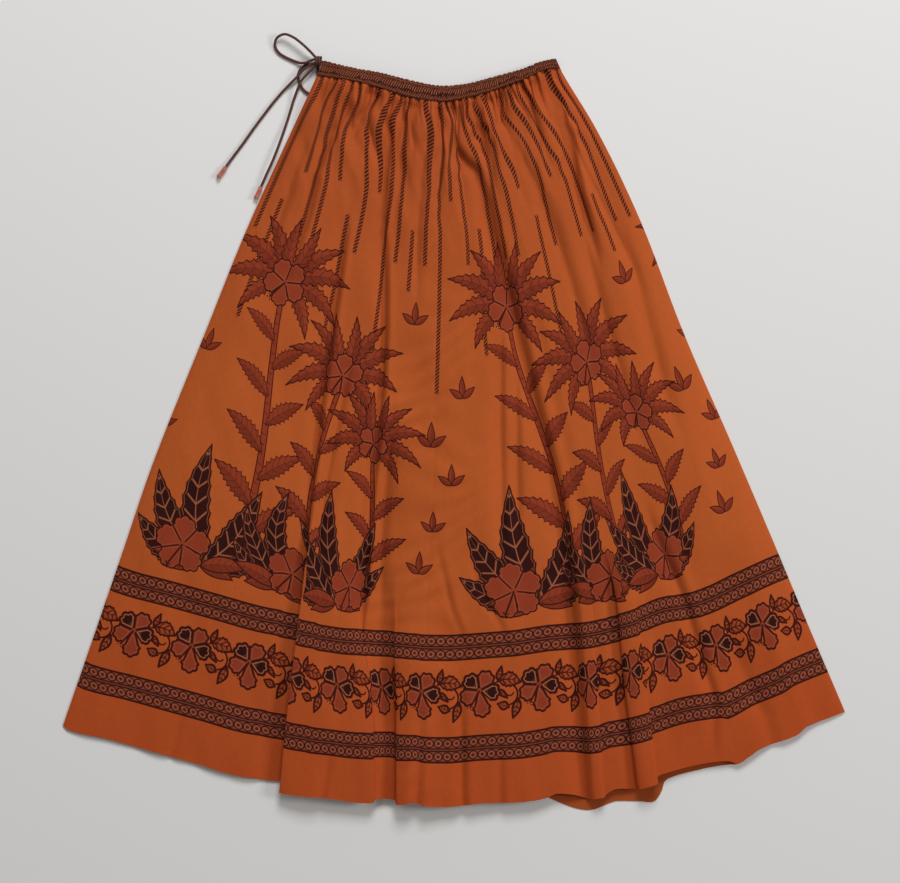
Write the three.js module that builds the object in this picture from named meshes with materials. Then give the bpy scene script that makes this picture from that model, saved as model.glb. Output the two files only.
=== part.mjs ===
// A flared, gathered drawstring skirt that lies on its back panel, front up.
// Millimetres. +Z up, +Y towards the waist, +X towards the skirt's right-hand side edge as it is seen from above.
import * as THREE from 'three';

// ---------- driving dimensions ----------

const clothWall = 1.2;          // cloth of the panels
const seamGap = 0.3;            // left between pieces that are sewn together
const apex = { x: -28, y: 847.6 };            // the point where the two side edges would meet
const stations = [415, 500, 620, 780, 950, 1080, 1200, 1329];      // radii: waist, yoke, hip, thigh, knee, shin, border, hem
const laidHemWidth = 1050;      // along the hem, side edge to side edge

const gatherCount = 31;
const gatherRise = 3.2;         // at the waist seam
const gatherReach = 85;         // the gathers fade over this length

const edgeHeight = 2.3;         // mid-wall height of the front at the side edges, just over the back
const bodyHeight = 7.2;         // the same further in, where the front stands on its own folds
const edgeRoll = 50;            // width of the stretch between the two
const waistRise = { rise: 2.9, reach: 120 };            // the waist stands open by this much more
const waistRoll = 0.17;         // share of the waist over which it closes at each end

const casingWall = { middle: 4.2, ends: 2.4 };
const casingHeight = { middle: 11.7, ends: 3.9 };       // mid-wall height of the front casing
const casingBackInset = 2.5;    // the back casing shows this much above the front one
const casingRuffle = 1;         // the gathered edge of the casing waves by this much
const casingColumns = 62;
const casingShort = { left: 4.5, right: 0.5 };         // the casing ends this far inside the side edges

const cordDiameter = 3.4;
const cordSides = 8;
const cordStep = 8;             // length of one straight piece of a cord
const knotSize = { length: 11, width: 10, height: 8 };
const tipSize = { length: 17, radius: 2.9, rim: 3.2 };

// The waist's left end rests on the small loop of the drawstring.
const cornerLift = { x: -180, y: 458, rise: 4.4, flat: 30, reach: 76 };

// Rows down a panel, as a share of its length, and plain columns between its sides.
const frontRows = [0, 0.03, 0.075, 0.13, 0.21, 0.31, 0.42, 0.53, 0.63, 0.71, 0.78, 0.85, 0.92, 1];
const plainColumns = 62;
const backRows = [0, 0.04, 0.09, 0.16, 0.3, 0.5, 0.75, 1];
const backColumns = 34;

// ---------- tables ----------

// Lines that the front follows from waist to hem. part: share of the hem from the left edge. angles: from straight down,
// in degrees about the apex, one for each station.
const lines = {
  leftEdge: { part: 0, angles: [-21.4, -22.0, -22.5, -22.4, -22.3, -21.9, -21.6, -21.35] },
  leftLap: { part: 0.2773, angles: [-6.6, -10.8, -11.7, -10.2, -9.65, -9.1, -9.05, -8.8] },
  middleLap: { part: 0.4221, angles: [-3.5, -4.2, -4.0, -3.6, -3.2, -2.65, -2.45, -2.25] },
  centreSeam: { part: 0.4619, angles: [1.5, 1.2, 0.9, 0.45, 0, -0.35, -0.45, -0.45] },
  tuckLap: { part: 0.6862, angles: [8.5, 10.2, 11.4, 11.8, 11.9, 11.0, 10.35, 9.7] },
  rightLap: { part: 0.7238, angles: [11.5, 12.8, 13.6, 13.6, 13.3, 12.55, 11.85, 11.4] },
  lowLap: { part: 0.7558, angles: [14.5, 15.3, 15.8, 15.4, 14.8, 14.1, 13.45, 12.85] },
  rightEdge: { part: 1, angles: [24.0, 25.2, 25.35, 24.5, 24.3, 24.15, 24.0, 23.9] },
};

// Folds where one part of the cloth lies over the next. upper: the side that lies on top. from and full: radii where the
// fold starts and where it is whole. shift: how far its edge is pushed sideways. rise: its height. zone: its width.
const laps = [
  { line: 'leftLap', upper: 1, from: 960, full: 1130, shift: 9, rise: 7, zone: 30, tail: 60 },
  { line: 'middleLap', upper: 1, from: 1040, full: 1160, shift: 4.2, rise: 5, zone: 22, tail: 34 },
  { line: 'tuckLap', upper: -1, from: 990, full: 1080, shift: 4.2, rise: 4.5, zone: 22, tail: 30 },
  { line: 'rightLap', upper: 1, from: 1010, full: 1120, shift: 4.2, rise: 4.5, zone: 22, tail: 26 },
  { line: 'lowLap', upper: -1, from: 1090, full: 1210, shift: 4.2, rise: 4, zone: 22, tail: 26 },
];

// Soft folds. deep: above 0 is a ridge, below 0 a trough. wide: half width. from and to: radii where it fades.
const folds = [
  { name: 'frontSwell', angles: [-2, -1, 0.5, 2, 3, 3, 3, 3], wide: 95, deep: 2.6, from: 430, to: 1500 },
  { name: 'leftCrease', angles: [-6.6, -10.8, -11.7, -10.2, -9.65, -9.1, -9.05, -8.8], wide: 9, deep: -2.6, from: 440, to: 1040 },
  { name: 'middleCrease', angles: [-6, -7, -5.7, -4.4, -5, -4.6, -3.4, -3.05], wide: 10, deep: -3, from: 470, to: 1500 },
  { name: 'longCrease', angles: [0.5, 5.4, 8.1, 9.25, 10.7, 9.9, 9.15, 8.6], wide: 11, deep: -3.2, from: 480, to: 1500 },
  { name: 'hipRidge', angles: [4, 8, 10.8, 12.2, 13, 13, 13, 13], wide: 20, deep: 2, from: 480, to: 980 },
  { name: 'rightCrease', angles: [20.3, 20.3, 19.4, 18, 17.2, 16.9, 17, 16.4], wide: 9, deep: -2.6, from: 430, to: 860 },
  { name: 'sideCrease', angles: [21.5, 23.6, 24.1, 22.5, 20.8, 20.2, 19.6, 19.6], wide: 8, deep: -1.8, from: 460, to: 900 },
  { name: 'lowCrease', angles: [16.5, 16.5, 16.5, 16.5, 16.6, 16.9, 17, 16.35], wide: 12, deep: -3, from: 1020, to: 1500 },
  { name: 'lowRidge', angles: [18.4, 18.4, 18.4, 18.4, 18.4, 18.3, 18.2, 18], wide: 16, deep: 2, from: 1060, to: 1500 },
  { name: 'yokeCrease', angles: [-13.5, -16.2, -16.2, -16, -16, -16, -16, -16], wide: 9, deep: -2.2, from: 440, to: 700 },
];

// The laid hem. front and back: radii.
const hemShape = [
  { part: 0, front: 1318, back: 1316 },
  { part: 0.06, front: 1314, back: 1310 },
  { part: 0.26, front: 1317, back: 1308 },
  { part: 0.285, front: 1328, back: 1310 },
  { part: 0.4, front: 1329, back: 1312 },
  { part: 0.42, front: 1324, back: 1312 },
  { part: 0.432, front: 1331, back: 1314 },
  { part: 0.59, front: 1331, back: 1322 },
  { part: 0.63, front: 1325, back: 1334 },
  { part: 0.67, front: 1337, back: 1352 },
  { part: 0.7, front: 1331, back: 1348 },
  { part: 0.745, front: 1335, back: 1357 },
  { part: 0.765, front: 1324, back: 1332 },
  { part: 0.8, front: 1324, back: 1331 },
  { part: 0.853, front: 1335, back: 1338 },
  { part: 0.89, front: 1327, back: 1327 },
  { part: 1, front: 1323, back: 1323 },
];

// The waist line. top: upper edge of the casing. seam: where the panels are sewn to it.
const waistShape = [
  { angle: -21.4, top: 392, seam: 411 },
  { angle: -15, top: 388.5, seam: 404.5 },
  { angle: -10, top: 387, seam: 405.5 },
  { angle: -5, top: 391, seam: 412 },
  { angle: 1.5, top: 398, seam: 418 },
  { angle: 6, top: 398, seam: 415.5 },
  { angle: 12, top: 394.5, seam: 410 },
  { angle: 18, top: 393.7, seam: 405.5 },
  { angle: 21, top: 392.8, seam: 403 },
  { angle: 24, top: 396.5, seam: 408 },
];

// Routes of the drawstring's free stretches, from the knot outwards, as x, y, z of the cord's middle.
const routes = {
  bigLoop: [[-184.8, 484.2, 7.8], [-192.4, 481.2, 6.1], [-199.5, 481, 4], [-206.7, 483.4, 2.4], [-213, 486, 1.9], [-219, 488.8, 1.8],
    [-228, 495, 1.8], [-232.7, 504.5, 1.8], [-230, 513.2, 1.8], [-220, 517.9, 1.8], [-208, 513.4, 1.8], [-200.5, 508, 1.8],
    [-193.7, 502.2, 2.2], [-187, 495.8, 3.4], [-181.2, 489.6, 5.2]],
  smallLoop: [[-184.2, 480, 2.6], [-190, 479.2, 1.9], [-196, 476.8, 1.8], [-200.4, 471.6, 1.8], [-202.6, 465.1, 1.8], [-201.3, 457.4, 1.8],
    [-197.4, 449, 1.8], [-191.6, 443, 1.8], [-185.4, 441.2, 1.8], [-180.4, 445.2, 1.8], [-178, 453, 1.8], [-177.4, 463.5, 1.8],
    [-177.2, 472.6, 1.8]],
  longTail: [[-185, 479, 6.6], [-190.6, 475.6, 6], [-197, 470.4, 5.7], [-202.8, 463.8, 5.6], [-209, 457.8, 4.6], [-216.4, 450.4, 2.6],
    [-224.1, 442.3, 1.8], [-236.4, 427.6, 1.8], [-249, 411.2, 1.8], [-261.8, 393.8, 1.8], [-274.3, 376.1, 1.8], [-285.6, 361, 1.8],
    [-296.2, 346.4, 3.1]],
  shortTail: [[-181.6, 475.2, 6.4], [-186.6, 470.2, 6], [-192.4, 464.4, 5.7], [-197.6, 458.6, 5.6], [-201.6, 450.4, 5.6], [-205.2, 441.4, 4.4],
    [-208.6, 432, 2.7], [-212.4, 419.4, 2], [-216.4, 406.4, 2.2], [-221.6, 391, 3.3], [-226.4, 377.4, 4.4], [-231.4, 364, 5.1],
    [-237, 350.4, 5.1], [-243.4, 336.6, 4.4], [-250.6, 320.6, 3.1]],
};

// ---------- finishes ----------

const clothOrange = new THREE.MeshStandardMaterial({ color: 0xb75a28, roughness: 0.85, metalness: 0 });
const casingBrown = new THREE.MeshStandardMaterial({ color: 0x5f3226, roughness: 0.9, metalness: 0 });
const cordBrown = new THREE.MeshStandardMaterial({ color: 0x462826, roughness: 0.7, metalness: 0 });
const tipCopper = new THREE.MeshStandardMaterial({ color: 0xaf5f50, roughness: 0.5, metalness: 0.2 });

// ---------- small helpers ----------

const { clamp, lerp, degToRad, radToDeg } = THREE.MathUtils;

function smooth(share) {
  const s = clamp(share, 0, 1);
  return s * s * (3 - 2 * s);
}

// A soft curve through the values at rising places.
function curveThrough(places, values, at) {
  const last = places.length - 1;
  const x = clamp(at, places[0], places[last]);
  let k = 0;
  while (k < last - 1 && x > places[k + 1]) k += 1;
  const slope = (i) => {
    const before = Math.max(i - 1, 0);
    const after = Math.min(i + 1, last);
    return (values[after] - values[before]) / (places[after] - places[before]);
  };
  const span = places[k + 1] - places[k];
  const s = (x - places[k]) / span;
  const s2 = s * s;
  const s3 = s2 * s;
  return values[k] * (2 * s3 - 3 * s2 + 1) + values[k + 1] * (3 * s2 - 2 * s3)
    + span * (slope(k) * (s3 - 2 * s2 + s) + slope(k + 1) * (s3 - s2));
}

function tableAt(table, key, column, at) {
  return curveThrough(table.map((row) => row[key]), table.map((row) => row[column]), at);
}

function onPlan(radius, angle) {
  const a = degToRad(angle);
  return [apex.x + radius * Math.sin(a), apex.y - radius * Math.cos(a)];
}

function liftAt(x, y) {
  const away = Math.hypot(x - cornerLift.x, y - cornerLift.y);
  return cornerLift.rise * (1 - smooth((away - cornerLift.flat) / (cornerLift.reach - cornerLift.flat)));
}

// How far the waist stands open: 0 at its ends, 1 in the middle.
function waistBulge(share) {
  return smooth(Math.min(share, 1 - share) / waistRoll);
}

// ---------- form of the front ----------

const lineOrder = Object.values(lines);

function frontAngle(part, radius) {
  let k = 0;
  while (k < lineOrder.length - 2 && part > lineOrder[k + 1].part) k += 1;
  const [left, right] = [lineOrder[k], lineOrder[k + 1]];
  const share = (part - left.part) / (right.part - left.part);
  return lerp(curveThrough(stations, left.angles, radius), curveThrough(stations, right.angles, radius), share);
}

function lapStrength(lap, radius) {
  return smooth((radius - lap.from) / (lap.full - lap.from));
}

// How far a lap pushes the cloth sideways, and how high it lifts it, at a distance across the cloth from its line.
function lapAt(lap, across, radius) {
  const half = lap.zone / 2;
  const side = across * lap.upper;
  const strength = lapStrength(lap, radius);
  const shift = Math.abs(across) < half ? -lap.shift * strength * Math.sin((Math.PI * across) / half) : 0;
  const turn = lap.zone * 0.19;
  const spread = lap.zone * 0.3;
  const step = (smooth((side + turn) / spread + 0.5) + smooth((side - turn) / spread + 0.5)) / 2;
  const lift = lap.rise * strength * step * (1 - smooth((side - half) / lap.tail));
  return { shift, lift };
}

function foldHeight(fold, angle, radius) {
  const middle = curveThrough(stations, fold.angles, radius);
  const away = (degToRad(angle - middle) * radius) / fold.wide;
  const fade = smooth((radius - fold.from) / 90 + 0.5) * (1 - smooth((radius - fold.to) / 90 + 0.5));
  return fold.deep * fade * Math.exp(-away * away);
}

// Middle of the front's wall. part: 0 at the left edge, 1 at the right. down: 0 at the waist seam, 1 at the hem.
function frontPoint(part, down) {
  const seam = tableAt(waistShape, 'angle', 'seam', frontAngle(part, stations[0]));
  const radius = lerp(seam, tableAt(hemShape, 'part', 'front', part), down);
  const hemShare = radius / stations.at(-1);
  let angle = frontAngle(part, radius);
  const inwards = Math.min(part, 1 - part) * laidHemWidth * hemShare;
  const roll = 1 - Math.min(inwards / edgeRoll, 1);
  let height = (bodyHeight - edgeHeight) * (1 - roll * roll);
  for (const fold of folds) height += foldHeight(fold, angle, radius) * (1 - roll * roll);
  height += waistRise.rise * waistBulge(part) * Math.exp(-(radius - seam) / waistRise.reach);
  let shift = 0;
  for (const lap of laps) {
    const push = lapAt(lap, (part - lines[lap.line].part) * laidHemWidth, radius);
    shift += push.shift;
    height += push.lift;
  }
  const leftAngle = curveThrough(stations, lines.leftEdge.angles, radius);
  const rightAngle = curveThrough(stations, lines.rightEdge.angles, radius);
  const wave = (1 - Math.cos(2 * Math.PI * gatherCount * ((angle - leftAngle) / (rightAngle - leftAngle)))) / 2;
  height += gatherRise * wave * Math.exp(-(radius - seam) / gatherReach);
  angle += radToDeg(shift / radius);
  const [x, y] = onPlan(radius, angle);
  return new THREE.Vector3(x, y, edgeHeight + Math.max(height, 0) + liftAt(x, y));
}

// Middle of the back's wall: flat on the surface, but for the lifted corner.
function backPoint(part, down) {
  const angleAt = (radius) => lerp(
    curveThrough(stations, lines.leftEdge.angles, radius),
    curveThrough(stations, lines.rightEdge.angles, radius),
    part,
  );
  const seam = tableAt(waistShape, 'angle', 'seam', angleAt(stations[0])) - casingBackInset;
  const radius = lerp(seam, tableAt(hemShape, 'part', 'back', part), down);
  const [x, y] = onPlan(radius, angleAt(radius));
  return new THREE.Vector3(x, y, clothWall / 2 + liftAt(x, y));
}

// ---------- making solids ----------

// A closed wall on both sides of a surface. columns: { part, nudge }, where nudge moves an edge sideways in millimetres.
function clothWallGeometry(pointAt, columns, rows) {
  const small = 1e-4;
  const corners = [];
  for (const down of rows) {
    for (const { part, nudge = 0 } of columns) {
      const middle = pointAt(part, down);
      const aside = pointAt(part + small, down).sub(pointAt(part - small, down)).normalize();
      const below = pointAt(part, Math.min(down + small, 1)).sub(pointAt(part, Math.max(down - small, 0))).normalize();
      const outwards = below.cross(aside).normalize();
      middle.addScaledVector(aside, nudge);
      corners.push(middle.clone().addScaledVector(outwards, clothWall / 2), middle.addScaledVector(outwards, -clothWall / 2));
    }
  }
  const wide = columns.length;
  const outer = (i, j) => 2 * (j * wide + i);
  const inner = (i, j) => outer(i, j) + 1;
  const faces = [];
  const quad = (a, b, c, d) => faces.push(a, b, c, a, c, d);
  for (let j = 0; j < rows.length - 1; j += 1) {
    for (let i = 0; i < wide - 1; i += 1) {
      quad(outer(i, j), outer(i, j + 1), outer(i + 1, j + 1), outer(i + 1, j));
      quad(inner(i, j), inner(i + 1, j), inner(i + 1, j + 1), inner(i, j + 1));
    }
    quad(outer(0, j), inner(0, j), inner(0, j + 1), outer(0, j + 1));
    quad(outer(wide - 1, j), outer(wide - 1, j + 1), inner(wide - 1, j + 1), inner(wide - 1, j));
  }
  const end = rows.length - 1;
  for (let i = 0; i < wide - 1; i += 1) {
    quad(outer(i, 0), outer(i + 1, 0), inner(i + 1, 0), inner(i, 0));
    quad(outer(i, end), inner(i, end), inner(i + 1, end), outer(i + 1, end));
  }
  const geometry = new THREE.BufferGeometry().setFromPoints(corners);
  geometry.setIndex(faces);
  return geometry;
}

// A closed ribbon: rings of the same number of points, joined one to the next, with flat ends.
function ringsGeometry(rings) {
  const sides = rings[0].length;
  const faces = [];
  const at = (ring, side) => ring * sides + (side % sides);
  for (let k = 0; k < rings.length - 1; k += 1) {
    for (let s = 0; s < sides; s += 1) {
      faces.push(at(k, s), at(k + 1, s), at(k + 1, s + 1), at(k, s), at(k + 1, s + 1), at(k, s + 1));
    }
  }
  for (let s = 1; s < sides - 1; s += 1) {
    faces.push(at(0, 0), at(0, s), at(0, s + 1));
    faces.push(at(rings.length - 1, 0), at(rings.length - 1, s + 1), at(rings.length - 1, s));
  }
  const geometry = new THREE.BufferGeometry().setFromPoints(rings.flat());
  geometry.setIndex(faces);
  return geometry;
}

// The columns between two lines: even ones, and closer ones where a lap turns over.
function columnsBetween(start, end, count, nudges) {
  const parts = [];
  for (let i = 0; i <= count; i += 1) parts.push(lerp(start, end, i / count));
  const turns = [-0.5, -0.32, -0.2, -0.1, 0, 0.1, 0.2, 0.32, 0.5];
  for (const lap of laps) {
    const middle = lines[lap.line].part;
    if (middle < start || middle > end) continue;
    const half = lap.zone / 2 / laidHemWidth;
    for (let i = parts.length - 1; i >= 0; i -= 1) {
      if (Math.abs(parts[i] - middle) < half * 1.25) parts.splice(i, 1);
    }
    for (const turn of turns) parts.push(middle + (turn * lap.zone) / laidHemWidth);
  }
  parts.sort((a, b) => a - b);
  return parts.map((part, i) => ({ part, nudge: i === 0 ? nudges[0] : i === parts.length - 1 ? nudges[1] : 0 }));
}

function panel(name, pointAt, columns, rows) {
  const mesh = new THREE.Mesh(clothWallGeometry(pointAt, columns, rows), clothOrange);
  mesh.name = name;
  return mesh;
}

// Half of the waist casing. side: 1 for the front, -1 for the back.
function casing(name, side) {
  const rings = [];
  const inset = side < 0 ? casingBackInset : 0;
  const leftAngle = lines.leftEdge.angles[0] + radToDeg(casingShort.left / stations[0]);
  const rightAngle = lines.rightEdge.angles[0] - radToDeg(casingShort.right / stations[0]);
  for (let i = 0; i <= casingColumns; i += 1) {
    const share = i / casingColumns;
    const angle = lerp(leftAngle, rightAngle, share);
    const bulge = waistBulge(share);
    const wall = lerp(casingWall.ends, casingWall.middle, bulge);
    const wave = i % 2 ? casingRuffle : 0;
    const top = tableAt(waistShape, 'angle', 'top', angle) - inset + wave;
    const seam = tableAt(waistShape, 'angle', 'seam', angle) - inset - seamGap;
    const height = side > 0 ? lerp(casingHeight.ends, casingHeight.middle, bulge) : wall / 2;
    const round = wall * 0.3;
    const outline = [[top, -0.5 * wall + round], [top + round, -0.5 * wall], [seam - round, -0.5 * wall], [seam, -0.5 * wall + round],
      [seam, 0.5 * wall - round], [seam - round, 0.5 * wall], [top + round, 0.5 * wall], [top, 0.5 * wall - round]];
    rings.push(outline.map(([radius, rise]) => {
      const [x, y] = onPlan(radius, angle);
      return new THREE.Vector3(x, y, height + rise + liftAt(x, y));
    }));
  }
  const mesh = new THREE.Mesh(ringsGeometry(rings), casingBrown);
  mesh.name = name;
  return mesh;
}

function cordAlong(name, route) {
  const path = new THREE.CatmullRomCurve3(route.map((p) => new THREE.Vector3(...p)), false, 'centripetal');
  const section = new THREE.Shape();
  for (let s = 0; s < cordSides; s += 1) {
    const turn = (2 * Math.PI * (s + 0.5)) / cordSides;
    const place = [(cordDiameter / 2) * Math.cos(turn), (cordDiameter / 2) * Math.sin(turn)];
    if (s) section.lineTo(...place);
    else section.moveTo(...place);
  }
  section.closePath();
  const steps = Math.round(path.getLength() / cordStep);
  const mesh = new THREE.Mesh(new THREE.ExtrudeGeometry(section, { steps, extrudePath: path, bevelEnabled: false }), cordBrown);
  mesh.name = name;
  return mesh;
}

function knot() {
  const mesh = new THREE.Mesh(new THREE.SphereGeometry(0.5, 14, 9), cordBrown);
  mesh.name = 'knot';
  mesh.scale.set(knotSize.length, knotSize.width, knotSize.height);
  mesh.position.set(-178.5, 483, 8.6);
  return mesh;
}

// The sleeve on a cord's end, in line with the cord's last stretch.
function tip(name, route) {
  const { length, radius, rim } = tipSize;
  const profile = [[0, 0], [radius * 0.85, 0], [radius, 1.2], [radius * 0.9, length * 0.55], [rim, length - 1], [rim * 0.8, length], [0, length]];
  const mesh = new THREE.Mesh(new THREE.LatheGeometry(profile.map(([x, y]) => new THREE.Vector2(x, y)), 16), tipCopper);
  const [before, last] = route.slice(-2).map((p) => new THREE.Vector3(...p));
  const along = last.clone().sub(before).setZ(0).normalize();
  mesh.quaternion.setFromUnitVectors(new THREE.Vector3(0, 1, 0), along);
  mesh.position.copy(last).addScaledVector(along, seamGap * 1.5).setZ(rim + 0.1);
  mesh.name = name;
  return mesh;
}

// ---------- the skirt ----------

const seamNudge = seamGap / 2;
const leftCount = Math.round(plainColumns * lines.centreSeam.part);

const skirt = new THREE.Group();
skirt.add(
  panel('front_left', frontPoint, columnsBetween(0, lines.centreSeam.part, leftCount, [0, -seamNudge]), frontRows),
  panel('front_right', frontPoint, columnsBetween(lines.centreSeam.part, 1, plainColumns - leftCount, [seamNudge, 0]), frontRows),
  panel('back', backPoint, Array.from({ length: backColumns + 1 }, (_, i) => ({ part: i / backColumns })), backRows),
  casing('casing_front', 1),
  casing('casing_back', -1),
  knot(),
  cordAlong('loop_big', routes.bigLoop),
  cordAlong('loop_small', routes.smallLoop),
  cordAlong('tail_long', routes.longTail),
  cordAlong('tail_short', routes.shortTail),
  tip('tip_long', routes.longTail),
  tip('tip_short', routes.shortTail),
);

export default skirt;
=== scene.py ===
import math
import random

import bpy
import numpy as np
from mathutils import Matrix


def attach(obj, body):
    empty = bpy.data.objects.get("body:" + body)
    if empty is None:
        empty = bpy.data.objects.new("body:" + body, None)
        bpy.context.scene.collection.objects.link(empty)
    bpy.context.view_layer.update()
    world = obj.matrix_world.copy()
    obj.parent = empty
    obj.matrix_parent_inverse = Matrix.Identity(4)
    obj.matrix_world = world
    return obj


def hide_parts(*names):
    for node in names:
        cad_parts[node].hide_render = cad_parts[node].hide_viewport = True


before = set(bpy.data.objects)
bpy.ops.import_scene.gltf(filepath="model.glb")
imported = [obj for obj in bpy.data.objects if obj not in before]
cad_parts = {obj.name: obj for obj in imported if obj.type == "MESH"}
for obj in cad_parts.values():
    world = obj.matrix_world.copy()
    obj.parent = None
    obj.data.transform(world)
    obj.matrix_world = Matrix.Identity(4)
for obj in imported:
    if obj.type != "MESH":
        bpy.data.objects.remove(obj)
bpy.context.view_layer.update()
mm = 0.001

# The camera looks straight down on the laid skirt.
camera = {"centre": (-0.0052, -0.0107), "height": 5.0, "viewWidth": 1.17, "sensor": 36.0, "clipEnd": 50}

cameraData = bpy.data.cameras.new("camera")
cameraData.sensor_width = camera["sensor"]
cameraData.lens = camera["sensor"] * camera["height"] / camera["viewWidth"]
cameraData.clip_end = camera["clipEnd"]
cameraObject = bpy.data.objects.new("camera", cameraData)
cameraObject.location = (*camera["centre"], camera["height"])
bpy.context.collection.objects.link(cameraObject)
bpy.context.scene.camera = cameraObject


def linear(red, green, blue):
    # a colour from its 0 to 255 values
    parts = [value / 255 for value in (red, green, blue)]
    return tuple(p / 12.92 if p <= 0.04045 else ((p + 0.055) / 1.055) ** 2.4 for p in parts) + (1.0,)


def newMesh(name, points, faces, slotOfFace=None, materials=()):
    mesh = bpy.data.meshes.new(name)
    mesh.from_pydata([tuple(p) for p in points], [], [tuple(f) for f in faces])
    for material in materials:
        mesh.materials.append(material)
    if slotOfFace is not None:
        mesh.polygons.foreach_set("material_index", np.asarray(slotOfFace, dtype=np.int32))
    mesh.polygons.foreach_set("use_smooth", [True] * len(mesh.polygons))
    mesh.update()
    piece = bpy.data.objects.new(name, mesh)
    bpy.context.collection.objects.link(piece)
    return piece


def addMap(piece, name, places):
    layer = piece.data.uv_layers.new(name=name)
    layer.data.foreach_set("uv", np.asarray(places, dtype=np.float32).ravel())


# A Signal is one value in a material's node tree, and can be added, multiplied and so on.
class Signal:
    def __init__(self, tree, socket):
        self.tree, self.socket = tree, socket

    def __add__(self, other):
        return sumOf("ADD", self, other)

    def __sub__(self, other):
        return sumOf("SUBTRACT", self, other)

    def __rsub__(self, other):
        return sumOf("SUBTRACT", other, self)

    def __mul__(self, other):
        return sumOf("MULTIPLY", self, other)

    def __truediv__(self, other):
        return sumOf("DIVIDE", self, other)

    __radd__, __rmul__ = __add__, __mul__


def sumOf(operation, *values, clamp=False):
    tree = next(v.tree for v in values if isinstance(v, Signal))
    node = tree.nodes.new("ShaderNodeMath")
    node.operation, node.use_clamp = operation, clamp
    for socket, value in zip(node.inputs, values):
        feed(tree, socket, value)
    return Signal(tree, node.outputs[0])


def feed(tree, socket, value):
    if isinstance(value, Signal):
        tree.links.new(value.socket, socket)
    else:
        socket.default_value = value


def absolute(value):
    return sumOf("ABSOLUTE", value)


def larger(*values):
    result = values[0]
    for value in values[1:]:
        result = sumOf("MAXIMUM", result, value)
    return result


def fraction(value):
    return sumOf("FRACT", value)


def wholePart(value):
    return sumOf("FLOOR", value)


def equals(value, other, reach=0.5):
    return sumOf("COMPARE", value, other, reach)


def turnOf(number, count, which):
    # 1 where the counted number is the one meant in each round of so many
    return equals(sumOf("FLOORED_MODULO", number, count), which, 0.4)


def distanceOf(x, y):
    return sumOf("SQRT", x * x + y * y)


def within(distance, blur=0.0004):
    # 1 inside a shape, 0 outside it, from a distance that is below 0 inside
    return sumOf("MULTIPLY_ADD", distance, -1.0 / blur, 0.5, clamp=True)


def mixColour(tree, share, first, second):
    node = tree.nodes.new("ShaderNodeMix")
    node.data_type = "RGBA"
    feed(tree, node.inputs["Factor"], share)
    feed(tree, node.inputs["A"], first)
    feed(tree, node.inputs["B"], second)
    return Signal(tree, node.outputs["Result"])


def turned(x, y, angle):
    # the point seen from axes that are turned by the angle
    if isinstance(angle, Signal):
        cosine, sine = sumOf("COSINE", angle), sumOf("SINE", angle)
    else:
        cosine, sine = math.cos(angle), math.sin(angle)
    return x * cosine + y * sine, y * cosine - x * sine


def noiseOf(tree, vector, scale, detail, roughness=0.5):
    node = tree.nodes.new("ShaderNodeTexNoise")
    node.inputs["Scale"].default_value = scale
    node.inputs["Detail"].default_value = detail
    node.inputs["Roughness"].default_value = roughness
    tree.links.new(vector, node.inputs["Vector"])
    return Signal(tree, node.outputs["Fac"])


def newGroup(name, colours, values, outputs):
    # colours: the names of its colour inputs. values: its other inputs, each with its usual value
    tree = bpy.data.node_groups.new(name, "ShaderNodeTree")
    for colour in colours:
        tree.interface.new_socket(colour, in_out="INPUT", socket_type="NodeSocketColor")
    for given, value in values.items():
        tree.interface.new_socket(given, in_out="INPUT", socket_type="NodeSocketFloat").default_value = value
    for result, kind in outputs.items():
        tree.interface.new_socket(result, in_out="OUTPUT", socket_type=kind)
    start, end = tree.nodes.new("NodeGroupInput"), tree.nodes.new("NodeGroupOutput")
    return tree, {n: Signal(tree, start.outputs[n]) for n in (*colours, *values)}, end.inputs


def placeGroup(tree, group, **values):
    # values are named like the group's sockets, without their spaces
    node = tree.nodes.new("ShaderNodeGroup")
    node.node_tree = group
    for socket in node.inputs:
        key = socket.name.replace(" ", "")
        key = key[0].lower() + key[1:]
        if key in values:
            feed(tree, socket, values[key])
    return {socket.name: Signal(tree, socket) for socket in node.outputs}


# The dyes of the print, the cord and its tips, with a painted shade for the ground near the waist and a
# painted highlight for the cord.
dyes = {
    # the third ground colour is darker: painted shade of the gathers, used near the waist
    "ground": linear(182, 87, 38), "groundLow": linear(176, 74, 31), "groundHigh": linear(168, 77, 35),
    "wrongSide": linear(164, 76, 36), "rust": linear(142, 56, 31), "open": linear(160, 70, 34),
    "dark": linear(46, 14, 10), "line": linear(62, 16, 10), "pale": linear(166, 94, 64),
    "rope": linear(62, 20, 14), "band": linear(58, 14, 8), "ring": linear(146, 77, 53),
    "eye": linear(84, 26, 15), "casing": linear(62, 24, 16), "strand": linear(154, 85, 55),
    # the lighter cord colour is a painted highlight on the raised strands
    "cord": linear(70, 38, 32), "cordLight": linear(118, 74, 62),
    "tip": linear(150, 70, 54), "tipLight": linear(196, 116, 94),
}


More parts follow.
